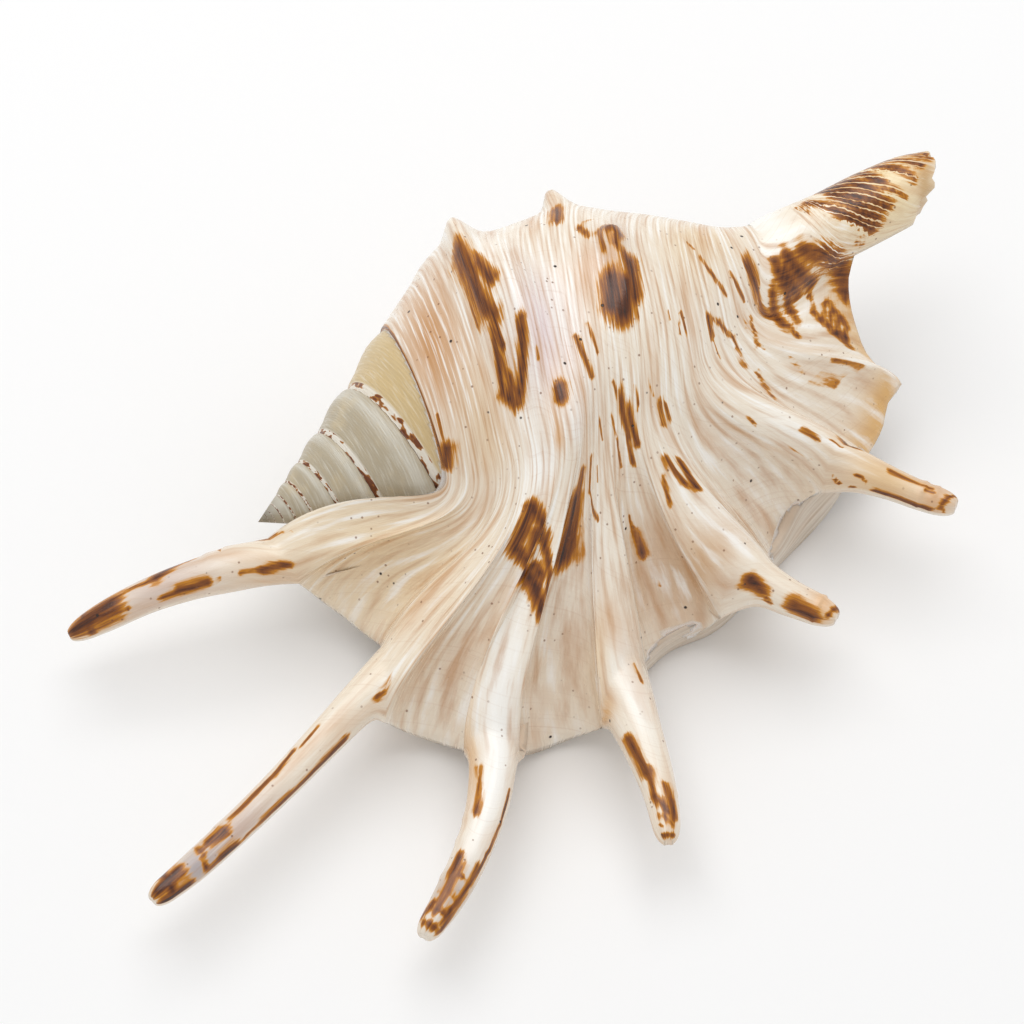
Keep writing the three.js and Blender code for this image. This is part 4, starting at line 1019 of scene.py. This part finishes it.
# Kinds of node that are used again and again.
CARRIED = "ShaderNodeAttribute"
MATH = "ShaderNodeMath"
FIT = "ShaderNodeMapRange"
MIX = "ShaderNodeMix"
NOISE = "ShaderNodeTexNoise"
VECTOR = "ShaderNodeVectorMath"
CELLS = "ShaderNodeTexVoronoi"
ARAGONITE_IOR = 1.53


def add(tree, kind, inputs=None, output=0, **settings):
    """Adds a node and gives one of its outputs: inputs holds each socket's value or link, by name
    or number, and the rest are the node's settings."""
    node = tree.nodes.new(kind)
    for key, value in settings.items():
        setattr(node, key, value)
    for key, value in (inputs or {}).items():
        if isinstance(value, bpy.types.NodeSocket):
            tree.links.new(value, node.inputs[key])
        else:
            node.inputs[key].default_value = value
    return node.outputs[output] if len(node.outputs) else node


def make_material(name, surface):
    """A material: surface(tree) gives the values and links of the shader's sockets."""
    material = bpy.data.materials.new(name)
    material.use_nodes = True
    tree = material.node_tree
    tree.nodes.clear()
    shader = add(tree, "ShaderNodeBsdfPrincipled", surface(tree))
    add(tree, "ShaderNodeOutputMaterial", {0: shader})
    return material


def grain(tree, wide_mm, long_mm, detail=3.0, seed=0.0):
    """Noise drawn out along the cords: one streak is wide_mm across them and long_mm along."""
    across = add(tree, CARRIED, output="Fac", attribute_name="across")
    along = add(tree, CARRIED, output="Fac", attribute_name="along")
    place = add(tree, "ShaderNodeCombineXYZ", {
        0: add(tree, MATH, {0: across, 1: wide_mm}, operation="DIVIDE"),
        1: add(tree, MATH, {0: along, 1: long_mm}, operation="DIVIDE"),
        2: seed})
    return add(tree, NOISE, {"Vector": place, "Scale": 1.0, "Detail": detail, "Roughness": 0.55})


def cloud(tree, size_mm, detail=3.0):
    """Noise in patches of one size, in the piece's own frame."""
    place = add(tree, "ShaderNodeTexCoord", output="Object")
    return add(tree, NOISE, {"Vector": place, "Scale": 1 / (size_mm * MM), "Detail": detail})


def layer(tree, colour, code, value, low, high, share=1.0):
    """Lays a colour over what is there: nothing where the value is at low, its full share at high."""
    cover = add(tree, FIT, {0: value, 1: low, 2: high, 3: 0.0, 4: share})
    return add(tree, MIX, {0: cover, 6: colour, 7: linear(code)}, output=2, data_type="RGBA")


def weighed(tree, terms, start=0.0):
    """Sum of values, each times its weight, from a start."""
    total = start
    for value, weight in terms:
        total = add(tree, MATH, {0: value, 1: weight, 2: total}, operation="MULTIPLY_ADD")
    return total


def outer_skin(tree):
    """Aragonite, glazed: the living animal's mantle polished it, so it is satin to glossy, cream,
    with white cords over tan troughs, the tan partly the troughs' own colour and partly painted
    shade that deepens down in each trough, brown stains drawn out along the cords, freckles and
    fine pin holes. Streaks of 0.5 mm stand for the real hair-fine growth lines."""
    brown = add(tree, CARRIED, output="Fac", attribute_name="brown")
    canal = add(tree, CARRIED, output="Fac", attribute_name="canal")
    cord = add(tree, CARRIED, output="Fac", attribute_name="cord")
    finger = add(tree, CARRIED, output="Fac", attribute_name="finger")
    ground = add(tree, CARRIED, output="Color", attribute_name="ground")
    place = add(tree, "ShaderNodeTexCoord", output="Object")
    streak = grain(tree, 0.42, 12.0, 4.0)
    broad = grain(tree, 2.6, 24.0, 3.0, 7.0)
    fine = grain(tree, 0.20, 4.0, 3.0, 3.0)
    growth = grain(tree, 9.0, 0.5, 3.0, 5.0)
    turn = add(tree, MATH, {0: cord, 1: 2 * np.pi}, operation="MULTIPLY")
    back = add(tree, MATH, {0: turn}, operation="COSINE")
    # Tan lines: streaks of colour, plus a darkening down in the troughs between cords that is painted
    # shade; low values turn white on the cords' backs.
    lines = weighed(tree, [(back, -0.26), (streak, 2.6), (broad, 1.2)], -1.9)
    lines = add(tree, MATH, {0: lines, 1: weighed(tree, [(finger, -0.6)], 1.0)}, operation="MULTIPLY")
    colour = layer(tree, ground, "#bf8850", lines, 0.02, 0.65, 0.58)
    colour = layer(tree, colour, "#fffdf8", lines, -0.12, -0.60, 0.80)
    colour = layer(tree, colour, "#d09c66", broad, 0.50, 0.70, 0.38)
    colour = layer(tree, colour, "#b98a62", growth, 0.55, 0.75, 0.20)
    bare = add(tree, MATH, {0: add(tree, FIT, {0: back, 1: 0.70, 2: 1.0}), 1: canal},
               operation="MULTIPLY")
    stain = weighed(tree, [(brown, 1.0), (streak, 2.2), (fine, 1.2), (bare, -1.2)], -1.7)
    colour = layer(tree, colour, "#d99f48", stain, -0.45, -0.05, 0.6)
    colour = layer(tree, colour, "#c47f16", stain, -0.12, 0.08)
    colour = layer(tree, colour, "#8f5006", stain, 0.15, 0.50)
    colour = layer(tree, colour, "#572702", stain, 0.55, 1.05)
    colour = layer(tree, colour, "#2a1002", stain, 1.05, 1.50)
    freckles = add(tree, CELLS, {"Vector": place, "Scale": 1 / (2.0 * MM)}, output="Distance")
    freckled = add(tree, FIT, {0: cloud(tree, 9), 1: 0.40, 2: 0.54})
    freckle = add(tree, FIT, {0: freckles, 1: 0.13, 2: 0.07, 3: 0.0, 4: freckled})
    colour = layer(tree, colour, "#7b4a25", freckle, 0.0, 1.0, 0.75)
    holes = add(tree, CELLS, {"Vector": place, "Scale": 1 / (5.5 * MM)}, output="Distance")
    hole = add(tree, FIT, {0: holes, 1: 0.058, 2: 0.036})
    colour = layer(tree, colour, "#2a1a12", hole, 0.0, 1.0)
    height = weighed(tree, [(streak, 0.5), (fine, 0.25), (growth, 0.3), (hole, -1.5)])
    return {"Base Color": colour, "IOR": ARAGONITE_IOR,
            "Roughness": add(tree, FIT, {0: fine, 1: 0.3, 2: 0.7, 3: 0.18, 4: 0.32}),
            "Normal": add(tree, "ShaderNodeBump", {"Distance": 0.09 * MM, "Height": height})}


def lining(tree):
    """Aragonite, porcelain lining: laid down smooth inside the mouth, glossy and cream, with a
    peach blush and faint growth lines."""
    ground = add(tree, CARRIED, output="Color", attribute_name="ground")
    soft = grain(tree, 4.0, 16.0, 3.0)
    growth = grain(tree, 14.0, 0.9, 2.0, 4.0)
    colour = layer(tree, ground, "#e6bd95", soft, 0.45, 0.72, 0.5)
    colour = layer(tree, colour, "#d3ad88", growth, 0.52, 0.75, 0.3)
    return {"Base Color": colour, "IOR": ARAGONITE_IOR,
            "Roughness": add(tree, FIT, {0: soft, 1: 0.3, 2: 0.7, 3: 0.18, 4: 0.30}),
            "Normal": add(tree, "ShaderNodeBump", {"Distance": 0.06 * MM, "Height": growth})}


def whorl_place(tree):
    """Where a point lies on the spire: the turn round the axis from the front in radians, and the
    whorls counted from the last suture, which go with the logarithm of the distance from the apex
    and with that turn."""
    place = add(tree, "ShaderNodeTexCoord", output="Object")
    apex = (APEX - PLAN_CENTRE) * MM
    away = add(tree, VECTOR, {0: place, 1: apex}, operation="SUBTRACT")
    run, lift, front = (add(tree, VECTOR, {0: away, 1: way}, output="Value", operation="DOT_PRODUCT")
                        for way in (AXIS / (LAST_SUTURE * MM), LIFT, -BACK))
    turn = add(tree, MATH, {0: lift, 1: front}, operation="ARCTAN2")
    whorls = add(tree, MATH, {0: run, 1: WHORL_RATIO}, operation="LOGARITHM")
    start = LAST_SUTURE_DEG / 360 - 0.5
    return turn, weighed(tree, [(whorls, 1.0), (turn, 1 / (2 * np.pi))], start)


def worn_spire(tree):
    """Aragonite, worn: the old whorls lost their glaze, so they are yellowish, then grey, with fine
    spiral hairlines and chalky streaks. A fine dark suture parts the whorls, and a white
    band with brown flecks follows it."""
    ground = add(tree, CARRIED, output="Color", attribute_name="ground")
    inside = add(tree, CARRIED, output="Fac", attribute_name="inside")
    turn, turns = whorl_place(tree)
    within = add(tree, MATH, {0: turns}, operation="FRACT")
    whorl = add(tree, MATH, {0: turns}, operation="FLOOR")
    streak = grain(tree, 0.30, 5.0, 4.0)
    patches = cloud(tree, 5, 4.0)
    hairlines = add(tree, MATH, {0: within, 1: HAIRLINE_RADIANS}, operation="MULTIPLY")
    hairlines = add(tree, MATH, {0: hairlines}, operation="SINE")
    spot = add(tree, "ShaderNodeCombineXYZ", {
        0: add(tree, MATH, {0: turn, 1: FLECKS_PER_RADIAN}, operation="MULTIPLY"),
        1: add(tree, MATH, {0: within, 1: FLECKS_PER_WHORL}, operation="MULTIPLY"),
        2: add(tree, MATH, {0: whorl, 1: FLECKS_SHIFT}, operation="MULTIPLY")})
    spots = add(tree, NOISE, {"Vector": spot, "Scale": 1.0, "Detail": 2.0})
    beside = add(tree, MATH, {0: within, 1: FLECKS_PLACE, 2: FLECKS_HALF_WIDTH}, operation="COMPARE")
    colour = layer(tree, ground, "#b9a27a", streak, 0.50, 0.75, 0.40)
    colour = layer(tree, colour, "#f0ece0", streak, 0.48, 0.30, 0.40)
    colour = layer(tree, colour, "#a8946c", hairlines, 0.3, 1.0, 0.12)
    colour = layer(tree, colour, "#d8c39a", patches, 0.52, 0.72, 0.4)
    white = add(tree, FIT, {0: within, 1: WHITE_FROM, 2: WHITE_TO})
    colour = layer(tree, colour, "#efe9dd", white, 0.0, 1.0, 0.85)
    fleck = add(tree, MATH, {0: spots, 1: beside}, operation="MULTIPLY")
    colour = layer(tree, colour, "#b07020", fleck, 0.50, 0.53)
    colour = layer(tree, colour, "#703606", fleck, 0.53, 0.59)
    suture = add(tree, MATH, {0: within, 1: 0.0, 2: LINE_HALF_WIDTH}, operation="COMPARE")
    suture = add(tree, MATH, {0: suture, 1: weighed(tree, [(inside, -1.0)], 1.0)},
                 operation="MULTIPLY")
    colour = layer(tree, colour, "#4a3320", suture, 0.0, 1.0, 0.85)
    colour = add(tree, MIX, {0: inside, 6: colour, 7: ground}, output=2, data_type="RGBA")
    height = weighed(tree, [(streak, 1.0), (hairlines, 0.12)])
    return {"Base Color": colour, "IOR": ARAGONITE_IOR,
            "Roughness": add(tree, FIT, {0: patches, 1: 0.3, 2: 0.7, 3: 0.26, 4: 0.42}),
            "Normal": add(tree, "ShaderNodeBump", {"Distance": 0.10 * MM, "Height": height})}


def lip_layers(tree):
    """Aragonite, edge of the lip in layers: rolled under the lip, satin, with tan growth lines that
    run with the edge."""
    ground = add(tree, CARRIED, output="Color", attribute_name="ground")
    layers = grain(tree, 0.5, 14.0, 4.0)
    broad = grain(tree, 2.2, 18.0, 3.0, 2.0)
    colour = layer(tree, ground, "#b39a80", layers, 0.45, 0.70, 0.6)
    colour = layer(tree, colour, "#cdb196", broad, 0.50, 0.70, 0.5)
    colour = layer(tree, colour, "#f0eae0", layers, 0.42, 0.28, 0.6)
    return {"Base Color": colour, "IOR": ARAGONITE_IOR,
            "Roughness": add(tree, FIT, {0: layers, 1: 0.3, 2: 0.7, 3: 0.34, 4: 0.50}),
            "Normal": add(tree, "ShaderNodeBump", {"Distance": 0.18 * MM, "Height": layers})}


def wall_piece(materials):
    """The wall with its relief. Its ground is tinted by place and its marks lie on the outside."""
    skin = wall_skin()
    k, t, along = (skin.values[key] for key in ("k", "t", "along"))
    lower = skin.values["lower"] > 0.5
    across, canal = cord_place(k, t, skin.points)
    cord = cord_number(across, along)
    tuck = sum(deep * bell(k - place, wide) * bell(t - at, long)
               for place, at, deep, wide, long in TUCKS)
    height = np.where(lower, tuck, relief(k, across, cord, t, along))
    skin.points = skin.points + normals_of(skin.points, skin.faces) * height[:, None]
    brown = np.where(lower, UNMARKED, mark_field(k, t))
    finger = smooth((t - FINGER_LOOK_FROM) / FINGER_LOOK_SPAN)
    carried = dict(across=across, along=along, cord=cord, canal=canal, finger=finger, brown=brown)
    colours = tinted(k, t, "#f1e5d3", TINTS)
    colours[lower] = tinted(k[lower], t[lower], "#efe3d2", LINING_TINTS)
    return mesh_object("conch_surface", skin, carried, colours, materials)


def spindle_piece(materials):
    """The spire and the columella. The last whorl that shows is yellowish, older ones grow greyer,
    with a paler roll before each suture."""
    skin = spindle_skin()
    u, psi, turns = (skin.values[key] for key in ("u", "psi", "turns"))
    within = turns - np.floor(turns)
    tan, grey, pale = (np.array(linear(code)) for code in ("#d3b987", "#b6aa92", "#cdc7b8"))
    young = smooth((np.floor(turns) + psi / 360 - YOUNG_FROM) / YOUNG_SPAN)[:, None]
    colours = grey + (tan - grey) * young
    roll = bell(within - ROLL_PLACE, ROLL_WIDTH)[:, None] * (1 - young)
    colours = colours + (pale - colours) * roll
    inside = u > LAST_SUTURE
    colours[inside] = linear("#efe3d2")
    along = np.radians(180 - np.abs(psi - 180)) * np.maximum(u, 1) * SPIRE_SLOPE
    carried = dict(across=u, along=along, inside=inside.astype(float))
    return mesh_object("spindle", skin, carried, colours, materials)


def band_piece(materials):
    """The rolled band under the lip."""
    skin = band_skin()
    carried = dict(across=skin.values["high"] * BAND_HEIGHT, along=skin.values["v"] * BAND_LENGTH)
    colours = np.tile(linear("#ddd0c0"), (len(skin.points), 1))
    return mesh_object("band", skin, carried, colours, materials)


def without_crumbs(piece):
    """Keeps the largest body of a mesh: a union can leave a closed crumb of a few faces where two
    skins all but touch. Each point takes the lowest number among its neighbours, over and over,
    until the numbers settle, and points of one body then share a number."""
    mesh = piece.data
    ends = np.empty(len(mesh.edges) * 2, np.int32)
    mesh.edges.foreach_get("vertices", ends)
    first, second = ends.reshape(-1, 2).T
    label = np.arange(len(mesh.vertices))
    settled = False
    while not settled:
        lowest = label.copy()
        np.minimum.at(lowest, first, label[second])
        np.minimum.at(lowest, second, label[first])
        lowest = lowest[lowest]
        settled = np.array_equal(lowest, label)
        label = lowest
    crumbs = np.flatnonzero(label != np.bincount(label).argmax())
    kept = bmesh.new()
    kept.from_mesh(mesh)
    kept.verts.ensure_lookup_table()
    bmesh.ops.delete(kept, geom=[kept.verts[n] for n in crumbs], context="VERTS")
    kept.to_mesh(mesh)
    kept.free()


def joined(pieces):
    """One closed body from overlapping closed pieces."""
    whole, *others = pieces
    bpy.context.view_layer.objects.active = whole
    for other in others:
        union = whole.modifiers.new("union", "BOOLEAN")
        union.operation = "UNION"
        union.solver = "MANIFOLD"
        union.object = other
        bpy.ops.object.modifier_apply(modifier=union.name)
        bpy.data.objects.remove(other)
    without_crumbs(whole)
    return whole


def build_shell():
    materials = [make_material("aragonite_glazed", outer_skin),
                 make_material("aragonite_porcelain_lining", lining),
                 make_material("aragonite_worn_spire", worn_spire),
                 make_material("aragonite_growth_layers", lip_layers)]
    shell = joined([wall_piece(materials), spindle_piece(materials), band_piece(materials)])
    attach(shell, "root")
    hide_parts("shell")


# Camera of the photograph: azimuth and elevation in degrees, distance, the point at the middle of
# the frame, and the focal length in pixels of a frame 1024 wide.
CAMERA_AZIMUTH = np.radians(-30)
CAMERA_ELEVATION = np.radians(55)
CAMERA_DISTANCE = 850 * MM
AIM = np.array([5.645, 26.175, -8.26]) * MM
FOCAL_PIXELS = 4930
FRAME_PIXELS = 1024
SENSOR_MM = 36
NEAREST = 0.05

# Half the floor's width in metres, and the strength of the even surround.
FLOOR_HALF = 3.0
SURROUND = 0.66


def make_camera():
    camera = bpy.data.objects.new("camera", bpy.data.cameras.new("camera"))
    bpy.context.scene.collection.objects.link(camera)
    back = Vector((np.sin(CAMERA_AZIMUTH) * np.cos(CAMERA_ELEVATION),
                   -np.cos(CAMERA_AZIMUTH) * np.cos(CAMERA_ELEVATION), np.sin(CAMERA_ELEVATION)))
    camera.location = Vector(AIM) + back * CAMERA_DISTANCE
    camera.rotation_euler = back.to_track_quat("Z", "Y").to_euler()
    camera.data.sensor_width = SENSOR_MM
    camera.data.lens = SENSOR_MM * FOCAL_PIXELS / FRAME_PIXELS
    camera.data.clip_start = NEAREST
    bpy.context.scene.camera = camera


def paper(tree):
    """Paper, matt white: the ground that the shell stands on."""
    return {"Base Color": linear("#f6f6f6"), "Roughness": 0.9}


def softbox(name, place, size, power, aim=(0, 0, 0.02)):
    """A square area light at a place in metres, facing the shell."""
    data = bpy.data.lights.new(name, "AREA")
    data.shape = "SQUARE"
    data.size = size
    data.energy = power
    light = bpy.data.objects.new(name, data)
    light.location = place
    light.rotation_euler = (Vector(place) - Vector(aim)).to_track_quat("Z", "Y").to_euler()
    bpy.context.scene.collection.objects.link(light)


def make_studio():
    """A plain white floor, a softbox overhead and a bright even surround."""
    mesh = bpy.data.meshes.new("floor")
    wide = FLOOR_HALF
    mesh.from_pydata([(-wide, -wide, 0), (wide, -wide, 0), (wide, wide, 0), (-wide, wide, 0)], [],
                     [(0, 1, 2, 3)])
    floor = bpy.data.objects.new("floor", mesh)
    bpy.context.scene.collection.objects.link(floor)
    mesh.materials.append(make_material("paper_white_ground", paper))
    softbox("overhead", (0.08, 0.36, 1.05), 1.1, 6.7)
    world = bpy.data.worlds.new("surround")
    world.use_nodes = True
    world.node_tree.nodes["Background"].inputs[0].default_value = linear("#ffffff")
    world.node_tree.nodes["Background"].inputs[1].default_value = SURROUND
    bpy.context.scene.world = world
    bpy.context.scene.view_settings.view_transform = "Standard"


build_shell()
make_camera()
make_studio()
